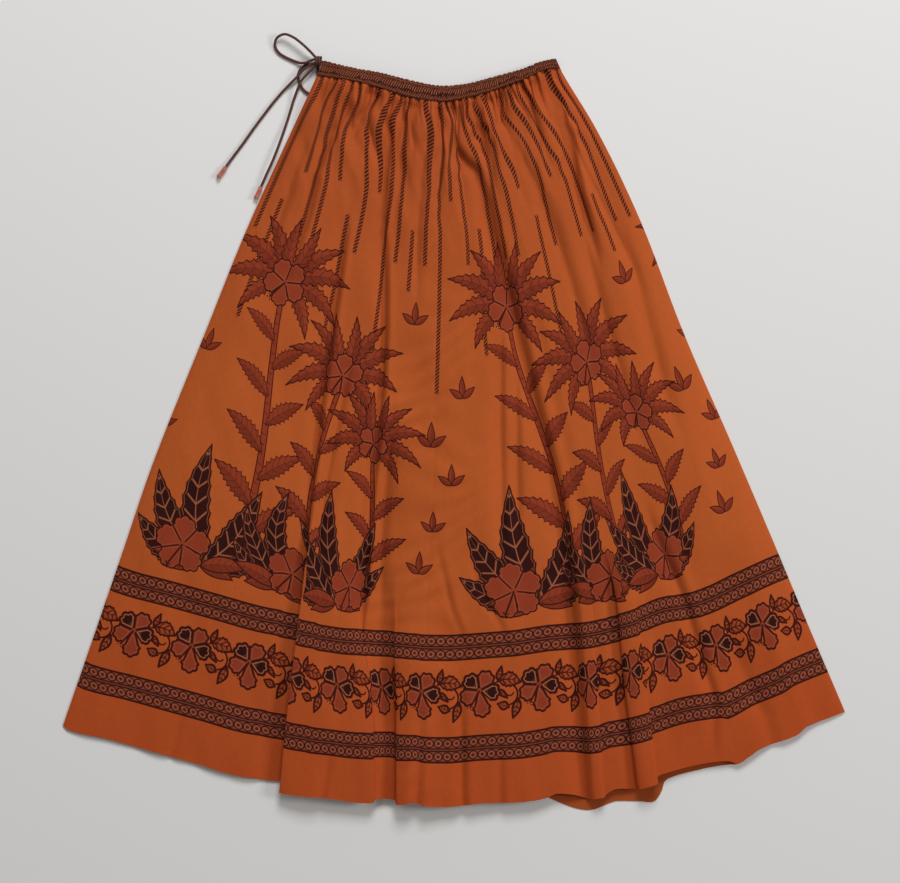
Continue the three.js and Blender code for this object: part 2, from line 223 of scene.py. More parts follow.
def makeLeafPrint():
    # a pointed leaf that grows from its foot, with a rib, side veins and an outline, and teeth or a rim
    tree, given, out = newGroup(
        "leafPrint", ["Under", "Fill Colour", "Line Colour", "Vein Colour"],
        {"X": 0.0, "Y": 0.0, "Turn": 0.0, "Length": 0.05, "Width": 0.02, "Bend": 0.0, "Teeth": 0.0,
         "Tooth Count": 7.0, "Line": 0.0016, "Veins": 1.0, "Vein Step": 0.14, "Vein Width": 0.07, "Rim": 0.0,
         "Shade": 0.35},
        {"Colour": "NodeSocketColor"})
    along, across = turned(given["X"], given["Y"], given["Turn"])
    share = sumOf("DIVIDE", along, given["Length"], clamp=True)
    rest = 1.0 - share
    across = across - given["Bend"] * share * rest * 4
    side = absolute(across)
    half = given["Width"] * share * rest * (1.0 + rest * 0.7) * 1.5     # widest below its middle
    tooth = 0.5 - absolute(fraction(share * given["Tooth Count"]) - 0.35)
    half = half * (1.0 - tooth * given["Teeth"])
    distance = larger(side - half, along * -1, along - given["Length"])
    fill = within(distance)
    outline = within(absolute(distance) - given["Line"] * 0.5)
    rib = within(side - given["Width"] * rest * given["Vein Width"] * 0.5)
    slant = fraction((along - side * 0.9) / (given["Length"] * given["Vein Step"]))
    sideVein = within(absolute(slant - 0.5) - given["Vein Width"], 0.06) * within(side - half * 0.75, 0.001)
    rim = within(absolute(distance + given["Line"] * 1.15) - given["Line"] * 0.2, 0.0006) * given["Rim"]
    veins = larger(rib, sideVein, rim) * fill * given["Veins"]
    shade = within(across, 0.001) * given["Shade"]      # one half is a little darker
    shaded = mixColour(tree, shade, given["Fill Colour"], given["Line Colour"])
    colour = mixColour(tree, fill, given["Under"], shaded)
    colour = mixColour(tree, veins, colour, given["Vein Colour"])
    feed(tree, out["Colour"], mixColour(tree, outline, colour, given["Line Colour"]))
    return tree


bloomForm = {"petals": 5, "lobes": 4.4, "lobeDepth": 0.075, "heart": 0.12, "stamenTurn": 241,
             "stamenHalf": 0.0012, "dots": 7.5, "dotSize": 0.26}


def makeBloomPrint():
    # petals with scalloped rims; the last of them can be longer, and the first and third dark
    tree, given, out = newGroup(
        "bloomPrint", ["Under", "Fill Colour", "Dark Colour", "Line Colour", "Pale Colour"],
        {"X": 0.0, "Y": 0.0, "Turn": 0.0, "Radius": 0.03, "Line": 0.0018, "Longer": 0.0, "Dark Petals": 1.0},
        {"Colour": "NodeSocketColor"})
    x, y, radius = given["X"], given["Y"], given["Radius"]
    reach = distanceOf(x, y)
    step = 2 * math.pi / bloomForm["petals"]
    turn = sumOf("ARCTAN2", y, x) + given["Turn"] + 4 * math.pi
    number = sumOf("FLOORED_MODULO", wholePart(turn / step), bloomForm["petals"])
    isLast = equals(number, bloomForm["petals"] - 1)
    inner = (fraction(turn / step) - 0.5) * step
    along = reach * sumOf("COSINE", inner)
    aside = reach * sumOf("SINE", inner)
    # a broad round end, narrower only near the heart
    roundEnd = radius * (0.43 - isLast * 0.04)
    middle = radius * (1.0 + isLast * given["Longer"]) - roundEnd
    share = sumOf("DIVIDE", along, middle, clamp=True)
    turnRound = sumOf("ARCTAN2", aside, along - middle * 0.85)
    lobes = absolute(sumOf("COSINE", turnRound * bloomForm["lobes"])) * within(middle * 0.8 - along, 0.006)
    rise = lobes * bloomForm["lobeDepth"] - 0.035
    beyond = larger(along - middle, 0.0)
    distance = distanceOf(beyond, aside) - roundEnd * sumOf("POWER", share, 0.60) - radius * rise
    # petals that meet leave a line between them
    distance = larger(distance, reach * sumOf("SINE", absolute(inner) - step * 0.5))
    fill = within(distance)
    outline = within(absolute(distance) - given["Line"] * 0.5)
    isDark = larger(equals(number, 0.0), equals(number, 2.0)) * given["Dark Petals"]
    paleRing = within(absolute(distance + given["Line"] * 1.05) - given["Line"] * 0.26)
    streak = within(absolute(fraction(inner * 6) - 0.5) - 0.12, 0.1)
    streak = streak * within(absolute(share - 0.52) - 0.22, 0.1)
    paleLines = larger(paleRing * (isDark * 0.60 + 0.40), streak * (isDark * 0.45 + 0.15)) * fill
    petalColour = mixColour(tree, isDark, given["Fill Colour"], given["Dark Colour"])
    colour = mixColour(tree, fill, given["Under"], petalColour)
    colour = mixColour(tree, paleLines, colour, given["Pale Colour"])
    heart = within(reach - radius * bloomForm["heart"])
    colour = mixColour(tree, outline * (1.0 - heart), colour, given["Line Colour"])
    colour = mixColour(tree, heart, colour, given["Fill Colour"])
    # the stamen, with a few dots at its end
    alongStamen, asideStamen = turned(x, y, math.radians(bloomForm["stamenTurn"]))
    place = alongStamen / radius
    half = absolute(asideStamen) - bloomForm["stamenHalf"]
    stem = within(larger(half, alongStamen - radius * 0.95, alongStamen * -1))
    dotX = fraction(place * bloomForm["dots"]) - 0.5
    dotY = (absolute(asideStamen) - 0.0026) / radius * bloomForm["dots"]
    dots = within(distanceOf(dotX, dotY) - bloomForm["dotSize"], 0.1)
    dots = dots * within(absolute(place - 0.93) - 0.15, 0.02)
    feed(tree, out["Colour"], mixColour(tree, larger(stem, dots), colour, given["Line Colour"]))
    return tree


def makeRingChain():
    # one row: thick rings side by side, with small triangles between them along both edges
    tree, given, out = newGroup(
        "ringChain", ["Ground Colour", "Ring Colour", "Eye Colour"],
        {"X": 0.0, "Y": 0.0, "Pitch": 0.0122, "Ring": 0.0047, "Eye": 0.0022, "Gap": 0.0017,
         "Half Row": 0.0060, "Triangles": 0.75},
        {"Colour": "NodeSocketColor"})
    cellX = absolute(fraction(given["X"] / given["Pitch"]) - 0.5) * given["Pitch"]
    ring = distanceOf(cellX, given["Y"] * 1.08)
    outside = within(given["Ring"] + given["Gap"] - ring) * within(absolute(given["Y"]) - given["Half Row"])
    mask = larger(within(ring - given["Ring"]), outside * given["Triangles"])
    colour = mixColour(tree, mask, given["Ground Colour"], given["Ring Colour"])
    feed(tree, out["Colour"], mixColour(tree, within(ring - given["Eye"]), colour, given["Eye Colour"]))
    return tree


def makeRopeStripe():
    # a stripe of slanting dashes on a lighter ground of the same dye
    tree, given, out = newGroup(
        "ropeStripe", [],
        {"X": 0.0, "Y": 0.0, "Width": 0.0063, "Pitch": 0.0047, "Slant": -0.85, "Half Dash": 0.29,
         "Ground": 0.24},
        {"Mask": "NodeSocketFloat"})
    side = absolute(given["X"])
    place = fraction((given["Y"] + given["X"] * given["Slant"]) / given["Pitch"])
    dash = within(absolute(place - 0.5) - given["Half Dash"], 0.07)
    mask = dash * (1.0 - given["Ground"]) + given["Ground"]
    feed(tree, out["Mask"], mask * within(side - given["Width"] * 0.5, 0.0005))
    return tree


weaveForm = {
    "threadHeight": 0.00002, "softHeight": 0.0030, "smallHeight": 0.00022, "tone": 0.10,
    "stretch": (1.0, 0.42, 1.0),
    # scale, detail and roughness of its noises
    "soft": (26.0, 3.0, 0.55), "small": (150.0, 2.0, 0.6), "slub": (420.0, 1.0, 0.5),
}


def makeWeave():
    tree, given, out = newGroup(
        "weave", [], {"X": 0.0, "Y": 0.0, "Thread": 0.0007, "Creases": 1.0},
        {"Height": "NodeSocketFloat", "Tone": "NodeSocketFloat"})
    threadX = sumOf("SINE", given["X"] * (2 * math.pi) / given["Thread"])
    threadY = sumOf("SINE", given["Y"] * (2 * math.pi) / given["Thread"])
    coordinate = tree.nodes.new("ShaderNodeTexCoord").outputs["Object"]
    stretch = tree.nodes.new("ShaderNodeMapping")
    stretch.inputs["Scale"].default_value = weaveForm["stretch"]
    tree.links.new(coordinate, stretch.inputs["Vector"])
    soft = noiseOf(tree, stretch.outputs["Vector"], *weaveForm["soft"])
    small = noiseOf(tree, coordinate, *weaveForm["small"])
    creases = (soft * weaveForm["softHeight"] + small * weaveForm["smallHeight"]) * given["Creases"]
    feed(tree, out["Height"], threadX * threadY * weaveForm["threadHeight"] + creases)
    slub = noiseOf(tree, stretch.outputs["Vector"], *weaveForm["slub"])
    tone = weaveForm["tone"]
    # the soft and small noises also raise the creases of the bump, so the cloth is lighter on their rises and
    # darker in their hollows: painted shade. The slubs are the yarn's own tone.
    feed(tree, out["Tone"], 1.0 + (small - 0.5) * tone + (slub - 0.5) * tone + (soft - 0.5) * tone)
    return tree


leafPrint, bloomPrint, ringChain = makeLeafPrint(), makeBloomPrint(), makeRingChain()
ropeStripe, weave = makeRopeStripe(), makeWeave()
print("motifs are ready")


def newMaterial(name, roughness, specular):
    material = bpy.data.materials.new(name)
    material.use_nodes = True
    tree = material.node_tree
    shader = tree.nodes["Principled BSDF"]
    shader.inputs["Roughness"].default_value = roughness
    shader.inputs["Specular IOR Level"].default_value = specular
    return material, tree, shader


def addBump(tree, shader, height, strength):
    bump = tree.nodes.new("ShaderNodeBump")
    bump.inputs["Strength"].default_value = strength
    bump.inputs["Distance"].default_value = 1.0
    feed(tree, bump.inputs["Height"], height)
    tree.links.new(bump.outputs["Normal"], shader.inputs["Normal"])


def printPlace(tree):
    # the cloth's own flat coordinates: X along the border, Y up from the hem, both in metres
    node = tree.nodes.new("ShaderNodeUVMap")
    node.uv_map = "print"
    parts = tree.nodes.new("ShaderNodeSeparateXYZ")
    tree.links.new(node.outputs["UV"], parts.inputs["Vector"])
    return Signal(tree, parts.outputs["X"]), Signal(tree, parts.outputs["Y"])


def tinted(tree, colour, tone):
    # the colour made a little lighter or darker
    node = tree.nodes.new("ShaderNodeVectorMath")
    node.operation = "SCALE"
    feed(tree, node.inputs[0], colour)
    feed(tree, node.inputs["Scale"], tone)
    return Signal(tree, node.outputs[0])


# The flat cut of the skirt is a part of a ring, in metres. Each half of the front starts at its middle seam.
cut = {"waistRadius": 0.585, "hemRadius": 1.5, "leftHalf": 0.520, "rightHalf": 0.602, "whole": 1.122}

# The border: two double rows of rings with a garland between them. Heights are from the hem.
border = {
    "radius": 1.353,            # of the garland's middle, on the flat cut
    "lowBand": 0.073, "highBand": 0.2055, "bandHalf": 0.0172, "rowAt": 0.0085, "middleLine": 0.0007,
    "ringPitch": 0.01218, "garland": 0.1475, "pitch": 0.0776, "shift": -0.0065,
    "bloomRadius": 0.0262, "bloomTurn": 46, "bloomLine": 0.0029, "longer": 0.30, "leafLine": 0.0030,
}


def paintBand(tree, x, y, colour, middle):
    offset = absolute(y - middle)
    chain = placeGroup(tree, ringChain, x=x, y=offset - border["rowAt"], pitch=border["ringPitch"],
                       groundColour=dyes["band"], ringColour=dyes["ring"], eyeColour=dyes["eye"])["Colour"]
    chain = mixColour(tree, within(offset - border["middleLine"]) * 0.6, chain, dyes["ring"])
    return mixColour(tree, within(offset - border["bandHalf"]), colour, chain)


# The spray's leaves: length, width, x, y, turn in degrees, bend, teeth.
sprayLeaves = [
    (0.0185, 0.0070, -0.0150, 0.0112, 76, 0.000, 0.0),
    (0.0285, 0.0185, -0.0135, 0.0112, -8, 0.003, 0.30),
    (0.0160, 0.0062, -0.0142, 0.0000, -46, 0.000, 0.0),
    (0.0150, 0.0098, -0.0008, -0.0238, 160, 0.000, 0.0),
    (0.0255, 0.0098, 0.0118, -0.0135, -107, 0.001, 0.0),
]
# Its vine and the curl inside it are parts of thin rings: x and y of the middle, radius, half thickness.
sprayVine = (-0.0030, -0.0073, 0.0138, 0.0012)
sprayCurl = (0.0005, -0.0040, 0.0050, 0.0010)


def thinRing(x, y, middleX, middleY, radius, half):
    return within(absolute(distanceOf(x - middleX, y - middleY) - radius) - half)


def paintGarland(tree, x, y, colour):
    place = (x - border["shift"]) / border["pitch"] + 0.5
    cellX = (fraction(place) - 0.5) * border["pitch"]
    cellY = y - border["garland"]
    # the spray stands between two blooms, so its own cell is shifted by half
    spray = (fraction(place + 0.5) - 0.5) * border["pitch"]
    vine = thinRing(spray, cellY, *sprayVine) * within(spray * -1 - 0.002, 0.001)
    curl = thinRing(spray, cellY, *sprayCurl) * within(cellY + 0.0050, 0.001)
    twigX, twigY = absolute(spray + 0.0185), absolute(cellY - 0.0150 - spray * 0.35)
    twig = within(larger(twigY - 0.0010, twigX - 0.005))
    colour = mixColour(tree, larger(vine, curl, twig), colour, dyes["line"])
    for length, width, atX, atY, turn, bend, teeth in sprayLeaves:
        colour = paintLeaf(tree, colour, spray - atX, cellY - atY, turn, length, width, bend, teeth,
                           kind="open", line=border["leafLine"])
    return paintBloom(tree, colour, cellX, cellY, border["bloomTurn"], border["bloomRadius"], darkPetals=1.0,
                      line=border["bloomLine"], longer=border["longer"])


# The field above the border: flowering stems over clusters of dark leaves, in a repeat that leaves open
# ground. Places are in metres from the motif's foot; x grows to the right and y towards the waist.
field = {"cell": 0.56, "foot": 0.238}
stems = [
    {"shift": 0.357, "height": 0.400, "sway": 0.017, "waves": 11.0, "thick": 0.0058,
     "step": 0.072, "leaves": 4, "leaf": 0.080, "crown": 1.0, "tilt": -0.16, "turn": 54},
    {"shift": 0.600, "height": 0.305, "sway": -0.015, "waves": 14.0, "thick": 0.0052,
     "step": 0.064, "leaves": 3, "leaf": 0.066, "crown": 0.92, "tilt": 0.14, "turn": 20},
    {"shift": 0.800, "height": 0.225, "sway": 0.010, "waves": 17.0, "thick": 0.0044,
     "step": 0.056, "leaves": 2, "leaf": 0.060, "crown": 0.78, "tilt": -0.10, "turn": 36},
]
stalk = {"start": 0.025, "taper": 0.45, "outline": 0.0009, "bark": 0.013, "firstLeaf": 0.070, "leafTurn": 36,
         "leafWidth": 0.34, "leafBend": 0.005, "leafTeeth": 0.55, "shrink": 0.09}
# pairs of leaves: turn in degrees, length, width, bend
crownLeaves = [(-46, 0.078, 0.022, 0.010), (-14, 0.096, 0.024, 0.013), (18, 0.102, 0.025, 0.012),
               (48, 0.096, 0.024, 0.008), (78, 0.086, 0.022, -0.004)]
crown = {"teeth": 0.6, "bloomRadius": 0.031}
clusters = [
    {"shift": 0.268, "size": 1.00, "tilt": 0.05, "bloom": 0.036, "bloomX": -0.026},
    {"shift": 0.474, "size": 0.78, "tilt": -0.14, "bloom": 0.033, "bloomX": 0.012},
    {"shift": 0.705, "size": 0.92, "tilt": 0.10, "bloom": 0.034, "bloomX": 0.024},
]
clusterForm = {"lift": 0.014, "bloomLift": 0.022, "bloomTurn": 18, "teeth": 0.25,
               "loneLeaf": (93, 0.158, 0.040, 0.010)}
darkLeaves = [(28, 0.104, 0.036, -0.010), (56, 0.134, 0.038, -0.011)]
lowLeaves = [(-12, 0.046, 0.016, 0.002), (8, 0.064, 0.020, 0.003)]
# cell shift, height of its foot, size
sprigs = [(0.985, 0.228, 1.0), (0.10, 0.290, 0.9), (0.055, 0.178, 0.85), (0.90, 0.385, 0.9),
          (0.968, 0.062, 0.9), (1.002, 0.118, 0.8)]
sprigForm = {"top": (90, 0.032, 0.0100), "side": (34, 0.026, 0.0095), "line": 0.0014}
# The stripes: how far they reach down from the waist, and how much more or less the long, short and late ones
# do. Long ones stand only among the seven nearest the middle on each side, and late ones begin lower down.
stripes = {"pitch": 0.0386, "width": 0.0060, "top": 0.915, "reach": 0.215, "long": 0.165, "longOnes": 7.5,
           "short": 0.085, "late": 0.12, "lateTop": 0.745, "wideFrom": 0.70, "wider": 0.12, "blur": 0.003}

leafKinds = {
    "rust": {"fillColour": dyes["rust"], "veinColour": dyes["line"], "veins": 0.5, "rim": 0.0, "shade": 0.3,
             "toothCount": 9.0},
    "dark": {"fillColour": dyes["dark"], "veinColour": dyes["pale"], "veins": 0.85, "rim": 1.0, "shade": 0.35,
             "toothCount": 9.0},
    "open": {"fillColour": dyes["open"], "veinColour": dyes["line"], "veins": 0.95, "veinStep": 0.26,
             "veinWidth": 0.16, "rim": 0.0, "shade": 0.1, "toothCount": 5.0},
}


def inOrder(x, colour):
    # makes a motif wait for the one below it, so that a material needs little memory
    return sumOf("MULTIPLY_ADD", colour, 1e-9, x)


def cellPlace(x, scale, shift):
    return (fraction(x / field["cell"] + 0.5 - shift) - 0.5) * field["cell"] * scale


def paintLeaf(tree, colour, x, y, turn, length, width, bend=0.0, teeth=0.0, kind="rust", line=0.0018):
    return placeGroup(tree, leafPrint, under=colour, x=inOrder(x, colour), y=y, turn=math.radians(turn),
                      length=length, width=width, bend=bend, teeth=teeth, line=line, lineColour=dyes["line"],
                      **leafKinds[kind])["Colour"]


def paintBloom(tree, colour, x, y, turn, radius, darkPetals=0.0, line=0.0020, longer=0.0):
    return placeGroup(tree, bloomPrint, under=colour, x=inOrder(x, colour), y=y, turn=math.radians(turn),
                      radius=radius, line=line, longer=longer, darkPetals=darkPetals, fillColour=dyes["rust"],
                      darkColour=dyes["dark"], lineColour=dyes["line"], paleColour=dyes["pale"])["Colour"]


def stemPlace(x, y, scale, stem):
    # across from the stem's own line, and up from its foot
    lift = y - field["foot"]
    return cellPlace(x, scale, stem["shift"]) - sumOf("SINE", lift * stem["waves"]) * stem["sway"], lift


def paintStalk(tree, x, y, scale, stem, colour):
    stemX, lift = stemPlace(x, y, scale, stem)
    root = sumOf("DIVIDE", lift - 0.02, 0.04, clamp=True)
    half = root * stem["thick"] - lift * (stem["thick"] * stalk["taper"] / stem["height"])
    shape = larger(absolute(stemX) - half, stalk["start"] - lift, lift - stem["height"])
    colour = mixColour(tree, within(shape - stalk["outline"]), colour, dyes["line"])
    mark = fraction((lift - absolute(stemX) * 0.8) / stalk["bark"])
    bark = within(absolute(mark - 0.5) - 0.05, 0.06) * within(stemX - 0.0015)
    stemColour = mixColour(tree, bark * 0.8, dyes["rust"], dyes["line"])
    colour = mixColour(tree, within(shape + 0.0006), colour, stemColour)
    # leaves in steps up the stem, those on the left half a step higher
    isLeft = sumOf("LESS_THAN", stemX, 0.0)
    ladder = (lift - stalk["firstLeaf"]) / stem["step"] - isLeft * 0.5
    for back in (1.0, 0.0):     # a leaf may reach into the next step up
        number = wholePart(ladder) - back
        leafY = (ladder - number) * stem["step"]
        size = 1.0 - number * stalk["shrink"]
        leaf = paintLeaf(tree, colour, absolute(stemX) / size, leafY / size, stalk["leafTurn"], stem["leaf"],
                         stem["leaf"] * stalk["leafWidth"], stalk["leafBend"], stalk["leafTeeth"])
        keep = within(absolute(number - (stem["leaves"] - 1) * 0.5) - stem["leaves"] * 0.5, 0.1)
        colour = mixColour(tree, keep, colour, leaf)
    return colour


def paintCrown(tree, x, y, scale, stem, colour):
    stemX, lift = stemPlace(x, y, scale, stem)
    stemX, top = turned(stemX, lift - stem["height"], stem["tilt"])
    size = stem["crown"]
    for turn, length, width, bend in crownLeaves:
        colour = paintLeaf(tree, colour, absolute(stemX), top, turn, length * size, width * size, bend * size,
                           crown["teeth"])
    return paintBloom(tree, colour, stemX, top, stem["turn"], crown["bloomRadius"] * size)


def paintCluster(tree, x, y, scale, cluster, colour):
    size, teeth = cluster["size"], clusterForm["teeth"]
    lift = y - field["foot"] - clusterForm["lift"]
    cellX, lift = turned(cellPlace(x, scale, cluster["shift"]), lift, cluster["tilt"])
    turn, length, width, bend = clusterForm["loneLeaf"]
    colour = paintLeaf(tree, colour, cellX, lift, turn, length * size, width * size, bend, teeth, kind="dark")
    pair = absolute(cellX)
    for turn, length, width, bend in darkLeaves:
        colour = paintLeaf(tree, colour, pair, lift, turn, length * size, width * size, bend, teeth,
                           kind="dark")
    for turn, length, width, bend in lowLeaves:
        colour = paintLeaf(tree, colour, pair, lift, turn, length, width, bend)
    return paintBloom(tree, colour, cellX - cluster["bloomX"], lift - clusterForm["bloomLift"],
                      clusterForm["bloomTurn"], cluster["bloom"])


def paintSprig(tree, x, y, scale, sprig, colour):
    shift, foot, size = sprig
    cellX = cellPlace(x, scale, shift)
    lift = y - field["foot"] - foot
    line = sprigForm["line"]
    for part, leafX in (("top", cellX), ("side", absolute(cellX))):
        turn, length, width = sprigForm[part]
        colour = paintLeaf(tree, colour, leafX, lift, turn, length * size, width * size, line=line)
    return colour


def paintStripes(tree, x, y, scale, colour):
    place = x / stripes["pitch"] + 0.5
    number = wholePart(place)
    stripeX = (fraction(place) - 0.5) * stripes["pitch"] * scale
    isLong = turnOf(number, 4.0, 0.0) * equals(number, 0.0, stripes["longOnes"])
    isShort, isLate = turnOf(number, 3.0, 1.0), turnOf(number, 5.0, 3.0)
    reach = stripes["reach"] + isLong * stripes["long"] - isShort * stripes["short"]
    reach = reach + isLate * stripes["late"]
    # wider near the waist, where the gathers squeeze the cloth
    wide = sumOf("DIVIDE", y - stripes["wideFrom"], stripes["reach"], clamp=True) * stripes["wider"] + 1.0
    stripe = placeGroup(tree, ropeStripe, x=stripeX, y=y, width=wide * stripes["width"])["Mask"]
    start = 1.0 - isLate * (1.0 - stripes["lateTop"])
    stripe = stripe * within(stripes["top"] - reach - y, stripes["blur"]) * within(y - start, stripes["blur"])
    return mixColour(tree, stripe, colour, dyes["rope"])


def paintBorder(tree, x, y, scale, colour):
    for band in ("lowBand", "highBand"):
        colour = paintBand(tree, x * scale, y, colour, border[band])
    return paintGarland(tree, x, y, colour)


# The cloth is printed in bands of its height, each with its own material, so that each only holds what shows
# in it: height from the hem, name, painters with the motifs that each of them paints.
clothBands = [
    (-1.0, "border cloth", [(paintBorder, [])]),
    (0.228, "low field cloth", [(paintSprig, sprigs[4:]), (paintStalk, stems), (paintCluster, clusters)]),
    (0.412, "middle field cloth", [(paintStripes, []), (paintSprig, sprigs[:3]), (paintStalk, stems),
                                   (paintCrown, stems[1:])]),
    (0.575, "high field cloth", [(paintStripes, []), (paintSprig, sprigs[3:4]), (paintStalk, stems[:1]),
                                 (paintCrown, stems[:2])]),
    (0.755, "yoke cloth", [(paintStripes, [])]),
]
skirtCloth = {"roughness": 0.85, "specular": 0.12, "bump": 0.55, "stitchAt": 0.0075, "stitchHalf": 0.0004,
              "stitchDepth": 0.00015}


def makeSkirtCloth(name, painters):
    material, tree, shader = newMaterial(name, skirtCloth["roughness"], skirtCloth["specular"])
    x, y = printPlace(tree)
    scale = (cut["hemRadius"] - y) / border["radius"]
    # the ground is redder near the hem, and darker near the waist as a painted shade of the gathers
    low = sumOf("MULTIPLY_ADD", y, 3.5, 0.0, clamp=True)
    high = sumOf("MULTIPLY_ADD", y, 2.6, -1.3, clamp=True)
    colour = mixColour(tree, low, dyes["groundLow"], dyes["ground"])
    colour = mixColour(tree, high, colour, dyes["groundHigh"])
    for paint, motifs in painters:
        for motif in motifs:
            colour = paint(tree, x, y, scale, motif, colour)
        if not motifs:
            colour = paint(tree, x, y, scale, colour)
    cloth = placeGroup(tree, weave, x=x * scale, y=y)
    # the weave's tone is partly painted shade in the hollows of its creases
    feed(tree, shader.inputs["Base Color"], tinted(tree, colour, cloth["Tone"]))
    stitch = within(absolute(y - skirtCloth["stitchAt"]) - skirtCloth["stitchHalf"], 0.0008)
    addBump(tree, shader, cloth["Height"] - stitch * skirtCloth["stitchDepth"], skirtCloth["bump"])
    return material


bandCloths = [makeSkirtCloth(name, painters) for _, name, painters in clothBands]
bandSlots = [(height, slot) for slot, (height, _, _) in enumerate(clothBands)]


def makeWrongSide():
    # the bands of the border show through
    material, tree, shader = newMaterial("cloth wrong side", 0.9, 0.12)
    x, y = printPlace(tree)
    cloth = placeGroup(tree, weave, x=x, y=y)
    bands = larger(*(within(absolute(y - border[band]) - border["bandHalf"], 0.002)
                     for band in ("lowBand", "highBand")))
    colour = mixColour(tree, bands * 0.45, dyes["wrongSide"], dyes["line"])
    feed(tree, shader.inputs["Base Color"], tinted(tree, colour, cloth["Tone"]))
    addBump(tree, shader, cloth["Height"], 0.4)
    return material


wrongSide = makeWrongSide()

casingPrint = {"row": 0.0047, "strand": 0.0032, "slant": 0.0046, "step": 0.0013, "warp": (1.5, 0.007),
               "strandHalf": 0.20, "rowHalf": 0.41, "strandHeight": 0.0005, "rowHeight": 0.0024}


def makeCasingCloth():
    # rows of slanting strands along the casing, printed on dark cloth
    material, tree, shader = newMaterial("casing cloth", 0.85, 0.15)
    x, y = printPlace(tree)
    coordinate = tree.nodes.new("ShaderNodeTexCoord").outputs["Object"]
    warp = noiseOf(tree, coordinate, 90.0, 2.0) - 0.5
    place = y / casingPrint["row"] + warp * casingPrint["warp"][0]
    row, inRow = wholePart(place), fraction(place) - 0.5
    along = x - inRow * casingPrint["slant"] + row * casingPrint["step"] + warp * casingPrint["warp"][1]
    strand = fraction(along / casingPrint["strand"])
    mask = within(absolute(strand - 0.5) - casingPrint["strandHalf"], 0.14)
    mask = mask * within(absolute(inRow) - casingPrint["rowHalf"], 0.08)
    colour = mixColour(tree, mask, dyes["casing"], dyes["strand"])
    cloth = placeGroup(tree, weave, x=x, y=y)
    feed(tree, shader.inputs["Base Color"], tinted(tree, colour, cloth["Tone"]))
    relief = mask * casingPrint["strandHeight"] - inRow * inRow * casingPrint["rowHeight"]
    addBump(tree, shader, cloth["Height"] + relief, 0.8)
    return material


def makeCordFinish():
    # round braid: two sets of strands that cross, lighter towards the raised middle of each crossing as a
    # painted highlight
    material, tree, shader = newMaterial("braided cord", 0.7, 0.3)
    x, y = printPlace(tree)
    along = x / 0.0032      # length of one crossing
    braid = sumOf("PINGPONG", fraction(along + y), 0.5) * sumOf("PINGPONG", fraction(along - y), 0.5) * 4
    feed(tree, shader.inputs["Base Color"], mixColour(tree, braid, dyes["cord"], dyes["cordLight"]))
    addBump(tree, shader, braid * 0.0004, 0.8)
    return material


def makeTipFinish():
    material, tree, shader = newMaterial("tip finish", 0.42, 0.5)
    coordinate = tree.nodes.new("ShaderNodeTexCoord").outputs["Object"]
    wear = noiseOf(tree, coordinate, 260.0, 3.0, 0.6)
    feed(tree, shader.inputs["Base Color"], mixColour(tree, wear, dyes["tip"], dyes["tipLight"]))
    feed(tree, shader.inputs["Roughness"], 0.32 + wear * 0.25)
    addBump(tree, shader, wear * 0.0002, 0.5)
    return material


casingCloth, cordFinish, tipFinish = makeCasingCloth(), makeCordFinish(), makeTipFinish()
print("materials are ready")

# The drawstring, along the same route as its solids.
drawstring = {"diameter": 0.0034, "sides": 12, "step": 0.0009}
routes = {
    "bigLoop": [(-184.8, 484.2, 7.8), (-192.4, 481.2, 6.1), (-199.5, 481, 4), (-206.7, 483.4, 2.4),
                (-213, 486, 1.9), (-219, 488.8, 1.8), (-228, 495, 1.8), (-232.7, 504.5, 2.6),
                (-230, 513.2, 5.2), (-220, 517.9, 9.0), (-208, 513.4, 11.2), (-200.5, 508, 11.6),
                (-193.7, 502.2, 11.2), (-187, 495.8, 10.2), (-181.2, 489.6, 9.0)],
    "smallLoop": [(-184.2, 480, 2.6), (-190, 479.2, 1.9), (-196, 476.8, 1.8), (-200.4, 471.6, 1.8),
                  (-202.6, 465.1, 1.8), (-201.3, 457.4, 1.8), (-197.4, 449, 1.8), (-191.6, 443, 1.8),
                  (-185.4, 441.2, 1.8), (-180.4, 445.2, 1.8), (-178, 453, 1.8), (-177.4, 463.5, 1.8),
                  (-177.2, 472.6, 1.8)],
    "longTail": [(-185, 479, 6.6), (-190.6, 475.6, 6), (-197, 470.4, 5.7), (-202.8, 463.8, 5.6),
                 (-209, 457.8, 4.6), (-216.4, 450.4, 2.6), (-224.1, 442.3, 1.8), (-236.4, 427.6, 1.8),
                 (-249, 411.2, 1.8), (-261.8, 393.8, 1.8), (-274.3, 376.1, 1.8), (-285.6, 361, 1.8),
                 (-296.2, 346.4, 3.1)],
    "shortTail": [(-181.6, 475.2, 6.4), (-186.6, 470.2, 6), (-192.4, 464.4, 5.7), (-197.6, 458.6, 5.6),
                  (-201.6, 450.4, 5.6), (-205.2, 441.4, 4.4), (-208.6, 432, 2.7), (-212.4, 419.4, 2),
                  (-216.4, 406.4, 2.2), (-221.6, 391, 3.3), (-226.4, 377.4, 4.4), (-231.4, 364, 5.1),
                  (-237, 350.4, 5.1), (-243.4, 336.6, 4.4), (-250.6, 320.6, 3.1)],
}


def lengthAlong(path):
    return np.concatenate([[0], np.cumsum(np.linalg.norm(np.diff(path, axis=0), axis=1))])


